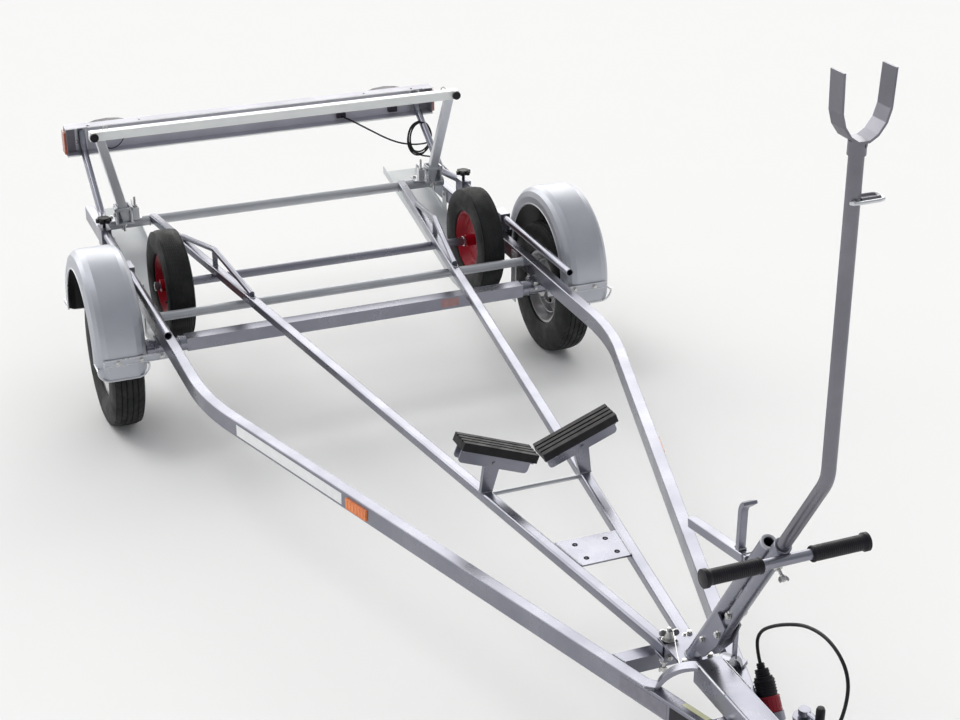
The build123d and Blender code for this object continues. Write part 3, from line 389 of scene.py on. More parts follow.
# The coil hangs on the carrier: each turn has its own half width and half height, and all hang from one height
COIL_X, COIL_Y, COIL_TOP = 683, 1190, 622
TURNS = [(53, 78), (46, 66), (53, 76), (47, 63), (51, 74)]
PER_TURN = 16
COIL_POINTS = 60
coil_mm = []
for i in range(COIL_POINTS):
    turn = i / PER_TURN
    (w0, h0), (w1, h1) = TURNS[int(turn)], TURNS[int(turn) + 1]
    part = turn % 1
    wide, high = w0 + (w1 - w0) * part, h0 + (h1 - h0) * part
    a = 2 * math.pi * turn + 0.15
    coil_mm.append((COIL_X + wide * math.cos(a) + 6 * math.sin(2.6 * turn), COIL_Y - 9 + 5.2 * turn,
                    COIL_TOP - high + high * math.sin(a)))
tail_mm = [(700, 1186, 471), (712, 1160, 477), (719, 1125, 481), (722, 1070, 480), (722, 1020, 478), (722, 975, 475), (724, 938, 473)]
rear_pts = [mm(*p) for p in sag_mm + coil_mm + tail_mm]
rear = cord_curve("rear_cable_line", rear_pts, 0.007, CABLE, "light_bar", ["rear_cable", "rear_cable_coil"])
WIRE_X = -585
wire_mm = [(WIRE_X - 37, 1297, 672), (WIRE_X - 36, 1284, 664), (WIRE_X - 27, 1276, 646), (WIRE_X - 3, 1272, 637),
           (WIRE_X + 27, 1275, 646), (WIRE_X + 51, 1284, 670), (WIRE_X + 60, 1297, 686)]
wire_pts = [mm(*p) for p in wire_mm]
wire = cord_curve("lamp_wire_line", wire_pts, 0.004, CABLE, "light_bar", ["lamp_wire"])


def strand(bm, points, radius, sides=8, wobble=0.0):
    """A round strand along points. With a wobble it is the rippled bead of a weld."""
    points = [Vector(p) for p in points]
    side = None
    rings = []
    for i, p in enumerate(points):
        along = (points[min(i + 1, len(points) - 1)] - points[max(i - 1, 0)]).normalized()
        if side is None:
            side = along.orthogonal().normalized()
        side = (side - along * side.dot(along)).normalized()
        up = along.cross(side)
        r = radius * (1 + wobble * math.sin(2.2 * i) + random.uniform(-wobble, wobble) * 0.5)
        rings.append([bm.verts.new(p + (side * math.cos(a) + up * math.sin(a)) * r)
                      for a in (2 * math.pi * k / sides for k in range(sides))])
    for a, b in zip(rings, rings[1:]):
        for k in range(sides):
            j = (k + 1) % sides
            bm.faces.new((a[k], b[k], b[j], a[j]))
    bm.faces.new(rings[0])
    bm.faces.new(rings[-1][::-1])


def arc(centre, axis, radius, start=0.0, turn=360.0, step=6.0):
    """Points of an arc about an axis, angles in degrees."""
    m = Matrix.Translation(centre) @ turn_to(axis)
    n = max(2, int(abs(turn) / step))
    return [m @ Vector((radius * math.cos(a), radius * math.sin(a), 0))
            for a in (math.radians(start + turn * i / n) for i in range(n + 1))]


def line(p, q, step=0.004):
    p, q = Vector(p), Vector(q)
    n = max(2, int((q - p).length / step))
    return [p.lerp(q, i / n) for i in range(n + 1)]


# Sizes shared with the part, in millimetres from the axle datum
RAIL_X, RAIL_W, RAIL_TOP, RAIL_REAR, RAIL_FRONT = 702.5, 36, 423.5, 1235, -2780
BEND_Y, V_SLOPE = -613.6, 0.3111
BEAM_Y, BEAM_TOP, BEAM_Z, BEAM_HALF, ARM_X0 = -15, 367.5, 344.5, 625, 738
MID_Y, MID_Z, FT_Y = 104, 400, -2366
T_X0, T_Y0, T_SLOPE, T_Z, T_S, T_FRONT = 519, 1000, 0.1436, 450.3, 32, -2412
T_TOP, T_BOTTOM = T_Z + T_S / 2, T_Z - T_S / 2
TUBE_Y, TUBE_Z, TUBE_HALF, RT_TOP, STAND_X = 942, 442.6, 690, 461.6, 633
COL_FOOT, COL_TOP, COL_R, SLEEVE_R, OFF = (-2483, 472), (-2767, 938), 18.5, 17.5, 35
SLEEVE_T0, SLEEVE_T1, HANDLE_HALF = 190, 592, 198
COL_LEN = math.hypot(COL_TOP[0] - COL_FOOT[0], COL_TOP[1] - COL_FOOT[1])
COL_U = ((COL_TOP[0] - COL_FOOT[0]) / COL_LEN, (COL_TOP[1] - COL_FOOT[1]) / COL_LEN)
PAD_Y, YOKE_Y, HEAD_TOP = -1562, -2500, 503
HORN_Y, HORN_Z = -2656, 862
CAR_X, CAR_Z, CAR_FRONT, CAR_TOP_X = 726, 472, -222, 700
BOARD_HALF, BOARD_Z0, BOARD_Z1, BOARD_Y0, BOARD_Y1, REAR_FACE = 766, 632.5, 746, 1245, 1300, 1350
LAMP_X, WIRE_X, BOX_XS = 585, -585, (373, 600)
GUN_Y, GUN_Z, GUN_S, GUN_HALF = 858, 822, 34, 735
J_X, J_Y, J_R = 92, -2822, 100
EYE_X, EYE_Y, EYE_TOP = 72, -2545, 574
MAST_Y, MAST_R, LOOP_Z = -2951, 17, 1770
TETHER = ((-17, -2398, 494), (-17, -2408, 498), (-24, -2428, 497), (-35, -2458, 492), (-48, -2492, 488), (-61, -2528, 486))


def v_x(y):
    """Centre of a drawbar rail at station y in front of the bend."""
    return RAIL_X - V_SLOPE * (BEND_Y - y)


def t_x(y):
    """Centre of a trolley rail at station y."""
    return T_X0 - T_SLOPE * (T_Y0 - y)


def on_col(t, d=0.0, x=0.0):
    """Millimetre point t along the column and d in front of it."""
    return (x, COL_FOOT[0] + COL_U[0] * t - COL_U[1] * d, COL_FOOT[1] + COL_U[1] * t + COL_U[0] * d)


# Tyres

def tyre(node, body, side, centre, radius, width, bead, steps, columns, cut):
    """A tyre in the CAD tyre's outline; cut(u, k) is how deep the tread is cut, in metres, at u = -1..1 of the
    crown and angular step k."""
    half = width / 2
    wall = [(-0.62, 0.0), (-0.78, 0.035), (-0.90, 0.16), (-0.975, 0.32), (-1.0, 0.5), (-0.985, 0.66), (-0.955, 0.78),
            (-0.90, 0.87), (-0.83, 0.945)]
    crown_half = 0.78
    rows = [(u, bead + v * (radius - bead), 0) for u, v in wall]
    for c in range(columns + 1):
        u = -1 + 2 * c / columns
        rows.append((u * crown_half, radius - 0.006 * u ** 4 - 0.0005, u))
    rows += [(-u, bead + v * (radius - bead), 0) for u, v in wall[::-1]]
    bm = bmesh.new()
    first, last = len(wall), len(wall) + columns
    rings = []
    for k in range(steps):
        a = 2 * math.pi * k / steps
        ring = []
        for i, (u, r, t) in enumerate(rows):
            if first <= i <= last:
                r -= cut(t, k)
            ring.append(bm.verts.new((centre[0] + side * u * half, centre[1] + r * math.cos(a),
                                      centre[2] + r * math.sin(a))))
        rings.append(ring)
    n = len(rows)
    for k in range(steps):
        a, b = rings[k], rings[(k + 1) % steps]
        for i in range(n):
            j = (i + 1) % n
            bm.faces.new((a[i], b[i], b[j], a[j]))
    for ratio in (0.40, 0.62):
        r = bead + ratio * (radius - bead)
        x = 1.0 - 0.9 * (ratio - 0.5) ** 2
        for s in (-1, 1):
            strand(bm, arc((centre[0] + s * half * (x - 0.02), centre[1], centre[2]), (1, 0, 0), r), 0.0012, 6)
    ob = piece(node + "_tread", bm, TYRE, body)
    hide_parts(node)
    return ob


ROAD_STEPS, ROAD_COLUMNS = 288, 36
TROLLEY_STEPS, TROLLEY_COLUMNS = 120, 44


def road_cut(u, k):
    """Four grooves round the tyre and slanted cuts between them."""
    deep = 0.0
    for g in (0.22, 0.62):
        if abs(abs(u) - g) < 0.045:
            deep = 0.004
    slant = (k + int(6 * abs(u))) % 6
    if slant == 0 and abs(u) > 0.1:
        deep = max(deep, 0.0025)
    return deep


def trolley_cut(u, k):
    """Fine ribs round the tyre."""
    c = round((u + 1) / 2 * TROLLEY_COLUMNS)
    return 0.0014 if c % 4 in (0, 1) and 0 < c < TROLLEY_COLUMNS else 0.0


for side, tag in SIDES:
    box_lo, box_hi = lo("road_tyre_" + tag), hi("road_tyre_" + tag)
    c = (box_lo + box_hi) / 2
    tyre("road_tyre_" + tag, "road_wheel_" + tag, side, c, (box_hi.z - box_lo.z) / 2, box_hi.x - box_lo.x, 0.138,
         ROAD_STEPS, ROAD_COLUMNS, road_cut)
    box_lo, box_hi = lo("trolley_tyre_" + tag), hi("trolley_tyre_" + tag)
    c = (box_lo + box_hi) / 2
    tyre("trolley_tyre_" + tag, "trolley_wheel_" + tag, side, c, (box_hi.z - box_lo.z) / 2, box_hi.x - box_lo.x, 0.112,
         TROLLEY_STEPS, TROLLEY_COLUMNS, trolley_cut)


# Rims

def rim_details(side, tag):
    c = (lo("road_tyre_" + tag) + hi("road_tyre_" + tag)) / 2
    out = Vector((side, 0, 0))
    bm = bmesh.new()
    face = c + out * 0.021
    for k in range(4):
        a = math.radians(45 + 90 * k)
        bolt(bm, face + Vector((0, math.cos(a), math.sin(a))) * 0.055, out, 0.012)
    hub_end = c + out * 0.042
    lathe(bm, [(0.030, 0.0), (0.030, 0.012), (0.027, 0.018), (0.010, 0.022), (0, 0.022)], hub_end, out)
    ob = piece("road_hub_" + tag, bm, BRIGHT, "road_wheel_" + tag)
    bevelled(ob, 0.0005, 1)
    bm = bmesh.new()
    for s in (-1, 1):
        strand(bm, arc(c + out * s * 0.059 * 0.645, (1, 0, 0), 0.1445, step=4), 0.0022, 8)
    for s, at in ((1, 0.0212), (-1, -0.0138)):
        for r in (0.068, 0.102):
            strand(bm, arc(c + out * at, (1, 0, 0), r, step=4), 0.0020, 8)
    piece("road_rim_lips_" + tag, bm, SILVER, "road_wheel_" + tag)
    # dark discs at the eight vent holes, on both faces of the rim: painted shade in the holes
    bm = bmesh.new()
    for k in range(8):
        a = math.radians(22.5 + 45 * k)
        seat = c + Vector((0, math.cos(a), math.sin(a))) * 0.086
        for s, at in ((1, 0.0212), (-1, 0.0138)):
            lathe(bm, [(0.010, 0.0), (0.0095, 0.0006), (0, 0.0006)], seat + out * at, out * s, 20)
    piece("road_rim_vent_shade_" + tag, bm, DARK, "road_wheel_" + tag, smooth=False)

    c = (lo("trolley_tyre_" + tag) + hi("trolley_tyre_" + tag)) / 2
    bm = bmesh.new()
    for s in (-1, 1):
        at = c + out * s * 0.048 * 0.645
        strand(bm, arc(at, (1, 0, 0), 0.1185, step=4), 0.0026, 8)
    for s, at in ((1, 0.0033), (-1, -0.0041)):
        for r in (0.036, 0.078):
            strand(bm, arc(c + out * at, (1, 0, 0), r, step=4), 0.0016, 8)
    for k in range(16):
        a = 2 * math.pi * k / 16
        ray = Vector((0, math.cos(a), math.sin(a)))
        for s, at in ((1, 0.0026), (-1, -0.0036)):
            strand(bm, line(c + ray * 0.040 + out * at, c + ray * 0.074 + out * at, 0.01), 0.0012, 6)
    piece("trolley_rim_lips_" + tag, bm, RED, "trolley_wheel_" + tag)
    bm = bmesh.new()
    a = math.radians(200)
    seat = c + Vector((0, math.cos(a), math.sin(a))) * 0.098 + out * 0.012
    lathe(bm, [(0.0045, 0), (0.0045, 0.006), (0.0032, 0.008), (0.0032, 0.022), (0.0040, 0.022), (0.0040, 0.031),
               (0, 0.032)], seat, out + Vector((0, -math.cos(a), -math.sin(a))) * 0.35, 14)
    piece("trolley_valve_" + tag, bm, GRIP, "trolley_wheel_" + tag)
    bm = bmesh.new()
    lathe(bm, [(0.0162, -0.0085), (0.0195, -0.0085), (0.0195, -0.001), (0.0175, 0.001), (0.0162, 0.001)],
          c - out * 0.0405, out, 32)
    lathe(bm, [(0.0165, 0.0), (0.013, 0.0025), (0, 0.0030)], c + out * 0.056, out, 28)
    piece("trolley_axle_collar_" + tag, bm, BRIGHT, "frame")


for side, tag in SIDES:
    rim_details(side, tag)


# Mudguards: one rolled edge round the whole sheet, and the stay bolts

def guard_edge(side):
    """The free edge of a mudguard: over the arch, down to the end, round its corners and back the other way."""
    flank = MG_R - MG_EDGE
    path = []
    for x0, x1, ends in ((MG_X0, MG_X1, (1, -1)), (MG_X1, MG_X0, (-1, 1))):
        inward = math.copysign(1, x1 - x0)
        for k in range(0, 181, 4):
            a = math.radians(k if ends[0] > 0 else 180 - k)
            path.append(mm(side * (x0 + inward * 1.5), MG_Y + flank * math.cos(a), MG_Z + flank * math.sin(a)))
        low = (MG_END if ends[1] < 0 else MG_REAR_END)
        path.append(mm(side * (x0 + inward * 1.5), MG_Y + ends[1] * flank, low + MG_CORNER))
        path.append(mm(side * (x0 + inward * 1.5), MG_Y + ends[1] * (MG_R - 12), low + MG_CORNER))
        corner = [(MG_CORNER * (1 - math.cos(math.radians(k))), MG_CORNER * (1 - math.sin(math.radians(k))))
                  for k in range(0, 91, 10)]
        path += [mm(side * (x0 + inward * u), MG_Y + ends[1] * (MG_R + 0.5), low + z) for u, z in corner]
        path += [mm(side * (x1 - inward * u), MG_Y + ends[1] * (MG_R + 0.5), low + z) for u, z in corner[::-1]]
        path.append(mm(side * (x1 - inward * 1.5), MG_Y + ends[1] * (MG_R - 12), low + MG_CORNER))
        path.append(mm(side * (x1 - inward * 1.5), MG_Y + ends[1] * flank, low + MG_CORNER))
    return path + path[:1]


for side, tag in SIDES:
    # the rolled edge and the stay edges are in the lighter edge zinc: painted highlight
    bm = bmesh.new()
    strand(bm, guard_edge(side), 0.0034, 8)
    piece("mudguard_rolled_edge_" + tag, bm, SHEET_EDGE, "frame")
    bm = bmesh.new()
    x0, x1 = side * (RAIL_X + RAIL_W / 2), side * (MG_X1 - 22)
    for z in (345.5, BEAM_TOP - 1.5):
        strand(bm, line(mm(x0, MG_Y - MG_R - 5, z), mm(x1, MG_Y - MG_R - 5, z), 0.02), 0.0026, 8)
    strand(bm, line(mm(x1, MG_Y - MG_R - 4, 346), mm(x1, MG_Y - MG_R - 4, BEAM_TOP - 2), 0.01), 0.0022, 8)
    piece("mudguard_stay_edges_" + tag, bm, SHEET_EDGE, "frame")
    bolts("mudguard_bolts_" + tag, "frame", [
        (mm(side * (MG_X0 + 104), MG_Y - MG_R - 6, 355), (0, -1, 0), 0.008, False),
        (mm(side * (MG_X0 + 26), MG_Y - MG_R - 6, 355), (0, -1, 0), 0.008, False),
        (mm(side * (RAIL_X + RAIL_W / 2 + 9), MG_Y - MG_R - 6, 355), (0, -1, 0), 0.008, False),
        (mm(side * (MG_X0 - 12), MG_Y + 238, 390), (0, 1, 0), 0.008, False)])


# Light board

for side, tag in SIDES:
    x = side * LAMP_X
    bm = bmesh.new()
    slab(bm, mm(x - 88, REAR_FACE - 6, 650), mm(x + 88, REAR_FACE + 0.6, 690))
    bevelled(piece("tail_lens_red_" + tag, bm, LENS_RED, "light_bar"), 0.003, 3)
    bm = bmesh.new()
    slab(bm, mm(x - 88, REAR_FACE - 6, 692), mm(x + 88, REAR_FACE + 0.6, 722))
    bevelled(piece("tail_lens_amber_" + tag, bm, ORANGE, "light_bar"), 0.003, 3)
    bm = bmesh.new()
    for k in range(9):
        z = 648 + k * 10
        slab(bm, mm(side * (BOARD_HALF + 7.4), 1256, z), mm(side * (BOARD_HALF + 8.8), 1294, z + 2))
    piece("board_reflector_ribs_" + tag, bm, AMBER, "light_bar", smooth=False)
    # grey sheets inside the open end of the board: painted shade of its inner web
    bm = bmesh.new()
    slab(bm, mm(side * BOARD_HALF - side * 4.2, BOARD_Y0 + 3, BOARD_Z0 + 2.4), mm(side * BOARD_HALF - side * 0.6, BOARD_Y1 - 2.4, BOARD_Z1 - 2.4))
    slab(bm, mm(side * (BOARD_HALF - 4), BOARD_Y1 - 4.2, BOARD_Z0 + 2.4), mm(side * (BOARD_HALF - 46), BOARD_Y1 - 2.6, BOARD_Z1 - 2.4))
    piece("board_end_painted_shade_" + tag, bm, END_SHADE_GREY, "light_bar", smooth=False)
    # white rolls along the top and bottom lips of the zinc board: painted highlight
    bm = bmesh.new()
    for z, r in ((BOARD_Z1 - 1.5, 0.0022), (BOARD_Z0 + 1.5, 0.0032)):
        for x0, x1 in ((CAR_TOP_X + 20, BOARD_HALF), (0, CAR_TOP_X - 20)):
            strand(bm, line(mm(side * x0, BOARD_Y0, z), mm(side * x1, BOARD_Y0, z), 0.03), r, 8)
    piece("board_lip_highlight_" + tag, bm, WHITE, "light_bar")
    # the carrier plate is in the lighter edge zinc: painted light
    bm = bmesh.new()
    slab(bm, mm(side * CAR_TOP_X - 24, BOARD_Y1 - 7, BOARD_Z0 + 8), mm(side * CAR_TOP_X + 24, BOARD_Y1 - 3, BOARD_Z1 - 4))
    bevelled(piece("carrier_plate_" + tag, bm, SHEET_EDGE, "light_bar", smooth=False), 0.001)
    bolts("board_bolts_" + tag, "light_bar", [
        (mm(side * (CAR_TOP_X - 18), BOARD_Y1 - 7, 734), (0, -1, 0), 0.007, False),
        (mm(side * (CAR_TOP_X + 18), BOARD_Y1 - 7, 676), (0, -1, 0), 0.007, False),
        (mm(side * (CAR_TOP_X - 24), BOARD_Y0 + 18, BOARD_Z1), (0, 0, 1), 0.006, False),
        (mm(side * (CAR_TOP_X - 230), BOARD_Y0 + 26, BOARD_Z1), (0, 0, 1), 0.005, False)])
bm = bmesh.new()
for x, z in ((WIRE_X - 37, 672), (WIRE_X + 60, 686)):
    lathe(bm, [(0.004, 0.0), (0.0105, 0.0), (0.0105, 0.004), (0.008, 0.006), (0.007, 0.016), (0.0024, 0.018)],
          mm(x, BOARD_Y1 - 3, z), (0, -1, 0), 20)
piece("wire_grommets", bm, GRIP, "light_bar")
bm = bmesh.new()
for x in BOX_XS:
    slab(bm, mm(x - 19, BOARD_Y1 - 22, 648), mm(x + 19, BOARD_Y1 - 2.4, 670))
    for z in (653, 659, 665):
        slab(bm, mm(x - 12, BOARD_Y1 - 23, z), mm(x + 12, BOARD_Y1 - 21, z + 2))
ob = bevelled(piece("cable_boxes_dressed", bm, LAMP, "light_bar", smooth=False), 0.002, 3)
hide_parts("cable_boxes")


# Gunwale bar and the clamps of its posts

bm = bmesh.new()
for z in (GUN_Z - 11, GUN_Z + 11):
    strand(bm, line(mm(-GUN_HALF + 34, GUN_Y + 12, z), mm(GUN_HALF - 34, GUN_Y + 12, z), 0.1), 0.0012, 6)
piece("gunwale_bar_folds", bm, WHITE, "frame")
for side, tag in SIDES:
    bm = bmesh.new()
    ex = side * (GUN_HALF - 60)
    strand(bm, arc(mm(ex, GUN_Y + 29, GUN_Z + GUN_S / 2 + 6), (0, 1, 0), 0.009, -20, 220), 0.0022, 8)
    lathe(bm, [(0.0155, -0.002), (0.0175, -0.001), (0.0175, 0.003), (0.0155, 0.004)], mm(side * (GUN_HALF - 13), GUN_Y + 9, GUN_Z),
          (0, -1, 0), 28)
    piece("gunwale_eye_" + tag, bm, BRIGHT, "frame")
    cx = side * STAND_X
    bm = bmesh.new()
    foot = (side * (STAND_X - 12), TUBE_Y - 39, RT_TOP + 8)
    top = (side * (GUN_HALF - 37), GUN_Y + 30, GUN_Z - GUN_S / 2)
    lean = (top[0] - foot[0]) / (top[2] - foot[2])
    back = (top[1] - foot[1]) / (top[2] - foot[2])
    z = RT_TOP + 58
    mx, my = foot[0] + lean * (z - foot[2]), foot[1] + back * (z - foot[2])
    slab(bm, mm(mx - 34, my - 21, z - 6), mm(mx + 34, my - 15.5, z + 6))
    slab(bm, mm(mx - 34, my - 21, z - 6), mm(mx - 29, my + 22, z + 6))
    slab(bm, mm(mx + 29, my - 21, z - 6), mm(mx + 34, my + 22, z + 6))
    sx = cx - side * 49
    slab(bm, mm(sx - 13, TUBE_Y - 44, RT_TOP + 6), mm(sx + 13, TUBE_Y - 18, RT_TOP + 54))
    # the strap is in the lighter edge zinc: painted light
    bevelled(piece("stand_strap_" + tag, bm, SHEET_EDGE, "frame", smooth=False), 0.001)
    bm = bmesh.new()
    lathe(bm, [(0.0, 0.0), (0.0045, 0.0), (0.0045, 0.040), (0.0030, 0.042), (0, 0.042)], mm(sx, TUBE_Y - 31, RT_TOP + 54), (0, 0, 1), 16)
    bolt(bm, mm(sx, TUBE_Y - 31, RT_TOP + 54), (0, 0, 1), 0.010, False)
    lathe(bm, [(0.0, 0.0), (0.0045, 0.0), (0.0045, 0.030), (0.0035, 0.032), (0, 0.032)], mm(cx, TUBE_Y - 51, RT_TOP), (0, 0, -1), 16)
    bolt(bm, mm(cx, TUBE_Y - 51, RT_TOP - 1), (0, 0, -1), 0.010, True)
    bolt(bm, mm(cx + 29 * side, TUBE_Y - 38, RT_TOP + 34), (side, 0, 0), 0.009)
    bolt(bm, mm(cx - 60 * side, TUBE_Y + 14, RT_TOP + 6), (0, 0, 1), 0.008)
    bolt(bm, mm(cx + 36 * side, TUBE_Y + 14, RT_TOP + 6), (0, 0, 1), 0.008)
    bevelled(piece("stand_bolts_" + tag, bm, BRIGHT, "frame", smooth=False), 0.0005, 1)
    bm = bmesh.new()
    strand(bm, [mm(cx, TUBE_Y + 22 * math.cos(math.radians(a)), TUBE_Z + 22 * math.sin(math.radians(a)))
                for a in range(60, 301, 12)], 0.0032, 8)
    piece("stand_u_bolt_" + tag, bm, BRIGHT, "frame")


# Labels, left blank

def strip(name, corners, out, mat, thick=0.0006):
    """A thin blank label over four millimetre points, lifted a little along out."""
    bm = bmesh.new()
    lift = Vector(out).normalized() * thick
    flat = [mm(*p) for p in corners]
    near = [bm.verts.new(v - lift * 0.5) for v in flat]
    far = [bm.verts.new(v + lift) for v in flat]
    bm.faces.new(near)
    bm.faces.new(far[::-1])
    for i in range(4):
        j = (i + 1) % 4
        bm.faces.new((near[i], near[j], far[j], far[i]))
    piece(name, bm, mat, "frame", smooth=False)


FACE_HALF = RAIL_W / 2 * math.hypot(1, V_SLOPE)
outward = (-1, -V_SLOPE, 0)
for name, y0, y1, z0, z1, mat in (("long_label", -812, -1334, 377, 413, LABEL), ("pale_label", -2420, -2570, 377, 415, LABEL_GREY),
                                  ("dark_label", -2578, -2700, 376, 414, LABEL_DARK)):
    xa, xb = -(v_x(y0) + FACE_HALF), -(v_x(y1) + FACE_HALF)
    strip(name, [(xa, y0, z0), (xb, y1, z0), (xb, y1, z1), (xa, y0, z1)], outward, mat)
y0, y1 = -2590, -2665
strip("yellow_label", [(-v_x(y0) + 1, y0, RAIL_TOP), (-v_x(y1) + 1, y1, RAIL_TOP), (-v_x(y1) + 15, y1, RAIL_TOP),
                       (-v_x(y0) + 15, y0, RAIL_TOP)], (0, 0, 1), LABEL_YELLOW)
strip("type_label", [(303, -40, 331), (372, -40, 331), (372, -40, 362), (303, -40, 362)], (0, -1, 0), LABEL_RED)
bm = bmesh.new()
for side, tag in SIDES:
    for k in range(6):
        ya, yb = -1364 - k * 14, -1372 - k * 14
        xa, xb = v_x(ya) + FACE_HALF + 6, v_x(yb) + FACE_HALF + 6
        quad = [(side * xa, ya), (side * xb, yb), (side * (xb + 1), yb), (side * (xa + 1), ya)]
        prism(bm, [(q[0] / 1000, q[1] / 1000 + SHIFT) for q in quad], Matrix.Translation((0, 0, (RAIL_TOP - 43) / 1000)), 0.028)
piece("side_reflector_ribs", bm, ORANGE, "frame", smooth=False)


# Handle and column

HANDLE = on_col(579, 62.5)
for side, tag in SIDES:
    bm = bmesh.new()
    for k in range(22):
        x = side * (74 + k * 4.9)
        lathe(bm, [(0.0168, -0.0016), (0.01755, -0.0008), (0.01755, 0.0008), (0.0168, 0.0016)], mm(x, HANDLE[1], HANDLE[2]),
              (1, 0, 0), 28)
    lathe(bm, [(0.0168, -0.003), (0.0182, -0.002), (0.0182, 0.002), (0.0168, 0.003)], mm(side * 64, HANDLE[1], HANDLE[2]),
          (1, 0, 0), 28)
    lathe(bm, [(0.0168, -0.010), (0.0196, -0.003), (0.0208, 0.003), (0.0200, 0.0074), (0.017, 0.0086), (0.0, 0.0090)],
          mm(side * (HANDLE_HALF - 8), HANDLE[1], HANDLE[2]), (side, 0, 0), 28)
    piece("grip_ribs_" + tag, bm, GRIP, "frame")
along_col = Vector((0, *COL_U))
front_of_col = (Vector(on_col(0, 1)) - Vector(on_col(0, 0))).normalized()
bm = bmesh.new()
lathe(bm, [(0.0153, -0.03), (0, -0.03)], mm(*on_col(COL_LEN - 1)), along_col, 32)
piece("column_shadow", bm, DARK, "frame")
bm = bmesh.new()
lathe(bm, [(0.0122, -0.004), (0.0122, 0.0008), (0.0140, 0.0020), (0.0180, 0.0018), (0.0191, 0.0002), (0.0191, -0.004)],
      mm(*on_col(COL_LEN)), along_col, 40)
piece("column_lip", bm, TUBE, "frame")
bm = bmesh.new()
lathe(bm, [(0.0172, -0.010), (0.0198, -0.010), (0.0198, 0.0), (0.0188, 0.0015), (0.0155, 0.0015)], mm(*on_col(SLEEVE_T1, OFF)),
      along_col, 40)
lathe(bm, [(0.0172, 0.010), (0.0192, 0.010), (0.0192, 0.0), (0.0155, -0.0012)], mm(*on_col(SLEEVE_T0, OFF)), along_col, 40)
piece("column_collars", bm, GALV, "frame")


def wing_bolt(bm, seat, axis, reach, wing_dir, span=0.011):
    """A nut, a bolt shank and a two-lobed wing head at its end."""
    axis, wing_dir = Vector(axis).normalized(), Vector(wing_dir).normalized()
    bolt(bm, seat, axis, 0.011)
    lathe(bm, [(0.004, 0.0), (0.004, reach), (0, reach)], seat, axis, 16)
    head = Vector(seat) + axis * (reach - 0.006)
    lathe(bm, [(0.0, -0.004), (0.006, -0.004), (0.0065, 0.004), (0.0045, 0.010), (0, 0.011)], head, axis, 18)
    for s in (-1, 1):
        m = Matrix((wing_dir * s, axis, (wing_dir * s).cross(axis))).transposed().to_4x4()
        m.translation = head
        lobe = [(0.003, -0.003), (span * 0.8, -0.002), (span * 1.15, 0.004), (span * 1.1, 0.010), (span * 0.8, 0.012), (0.004, 0.007)]
        prism(bm, lobe, m @ Matrix.Translation((0, 0, -0.0015)), 0.003)


bm = bmesh.new()
wing_bolt(bm, mm(*on_col(534, 52)), front_of_col, 0.034, (1, 0, 0))
ob = piece("mast_wing_bolt", bm, BRIGHT, "frame")
bevelled(ob, 0.0005, 1)
bm = bmesh.new()
for s in (-1, 1):
    bolt(bm, mm(*on_col(277, OFF, s * 17.4)), (s, 0, 0), 0.009, s > 0)
    bolt(bm, mm(*on_col(196, OFF + 6, s * 21.5)), (s, 0, 0), 0.009, s > 0)
    bolt(bm, mm(*on_col(118, 14, s * 21.5)), (s, 0, 0), 0.008, s > 0)
    for y in (COL_FOOT[0] - 19, T_FRONT + 12):
        bolt(bm, mm(s * 34, y, T_TOP + 6), (0, 0, 1), 0.008)
ob = piece("column_bolts", bm, BRIGHT, "frame", smooth=False)
bevelled(ob, 0.0005, 1)

# an upright lashing eye on the right of the drawbar head
bm = bmesh.new()
eye = [(-0.006, -0.092), (-0.006, -0.006), (-0.0045, -0.001), (0.0, 0.0012), (0.0045, -0.001), (0.006, -0.006),
       (0.006, -0.092)]
m = Matrix(((1, 0, 0), (0, 0, -1), (0, 1, 0))).to_4x4()
m.translation = mm(EYE_X, EYE_Y, EYE_TOP)
prism(bm, eye, m, 0.006)
ob = piece("lashing_eye", bm, GALV, "frame", smooth=False)
bevelled(ob, 0.001)


# Trolley clamp, head, coupling and plug

CX, CY = -24, T_FRONT + 8
bm = bmesh.new()
slab(bm, mm(-46, T_FRONT - 14, T_BOTTOM - 10.8), mm(46, T_FRONT + 34, T_BOTTOM - 3))
slab(bm, mm(-46, T_FRONT - 18, T_BOTTOM - 10), mm(46, T_FRONT - 13, T_TOP))
slab(bm, mm(-46, T_FRONT - 12, T_TOP), mm(-6, T_FRONT + 26, T_TOP + 6))
ob = bevelled(piece("trolley_clamp_plates", bm, GALV, "frame", smooth=False), 0.0015)
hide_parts("trolley_clamp")
bm = bmesh.new()
lathe(bm, [(0, 0), (0.018, 0), (0.018, 0.0022), (0, 0.0022)], mm(CX, CY, T_TOP + 6), (0, 0, 1), 28)
lathe(bm, [(0, 0), (0.0125, 0), (0.0135, 0.006), (0.0095, 0.014), (0.008, 0.020), (0, 0.020)], mm(CX, CY, T_TOP + 8), (0, 0, 1), 28)
lathe(bm, [(0.0, 0.0), (0.0055, 0.0), (0.0055, 0.030), (0.0045, 0.032), (0, 0.032)], mm(CX, CY, T_TOP + 6), (0, 0, 1), 18)
for s in (-1, 1):
    wing = [(0.006, -0.004)] + [(0.0165 + 0.0085 * math.cos(math.radians(a)), 0.006 + 0.0095 * math.sin(math.radians(a)))
                                for a in range(-110, 131, 20)] + [(0.006, 0.010)]
    m = Matrix(((s * 0.96, -s * 0.28, 0), (0, 0, 1), (-0.28, -0.96, 0))).transposed().to_4x4()
    m.translation = mm(CX, CY, T_TOP + 18)
    prism(bm, wing, m @ Matrix.Translation((0, 0, -0.002)), 0.004)
wing_bolt(bm, mm(CX - 16, CY - 10, T_BOTTOM - 10.8), (0, 0, -1), 0.030, (1, -0.4, 0), 0.010)
bolt(bm, mm(20, CY + 2, T_TOP), (0, 0, 1), 0.008, True)
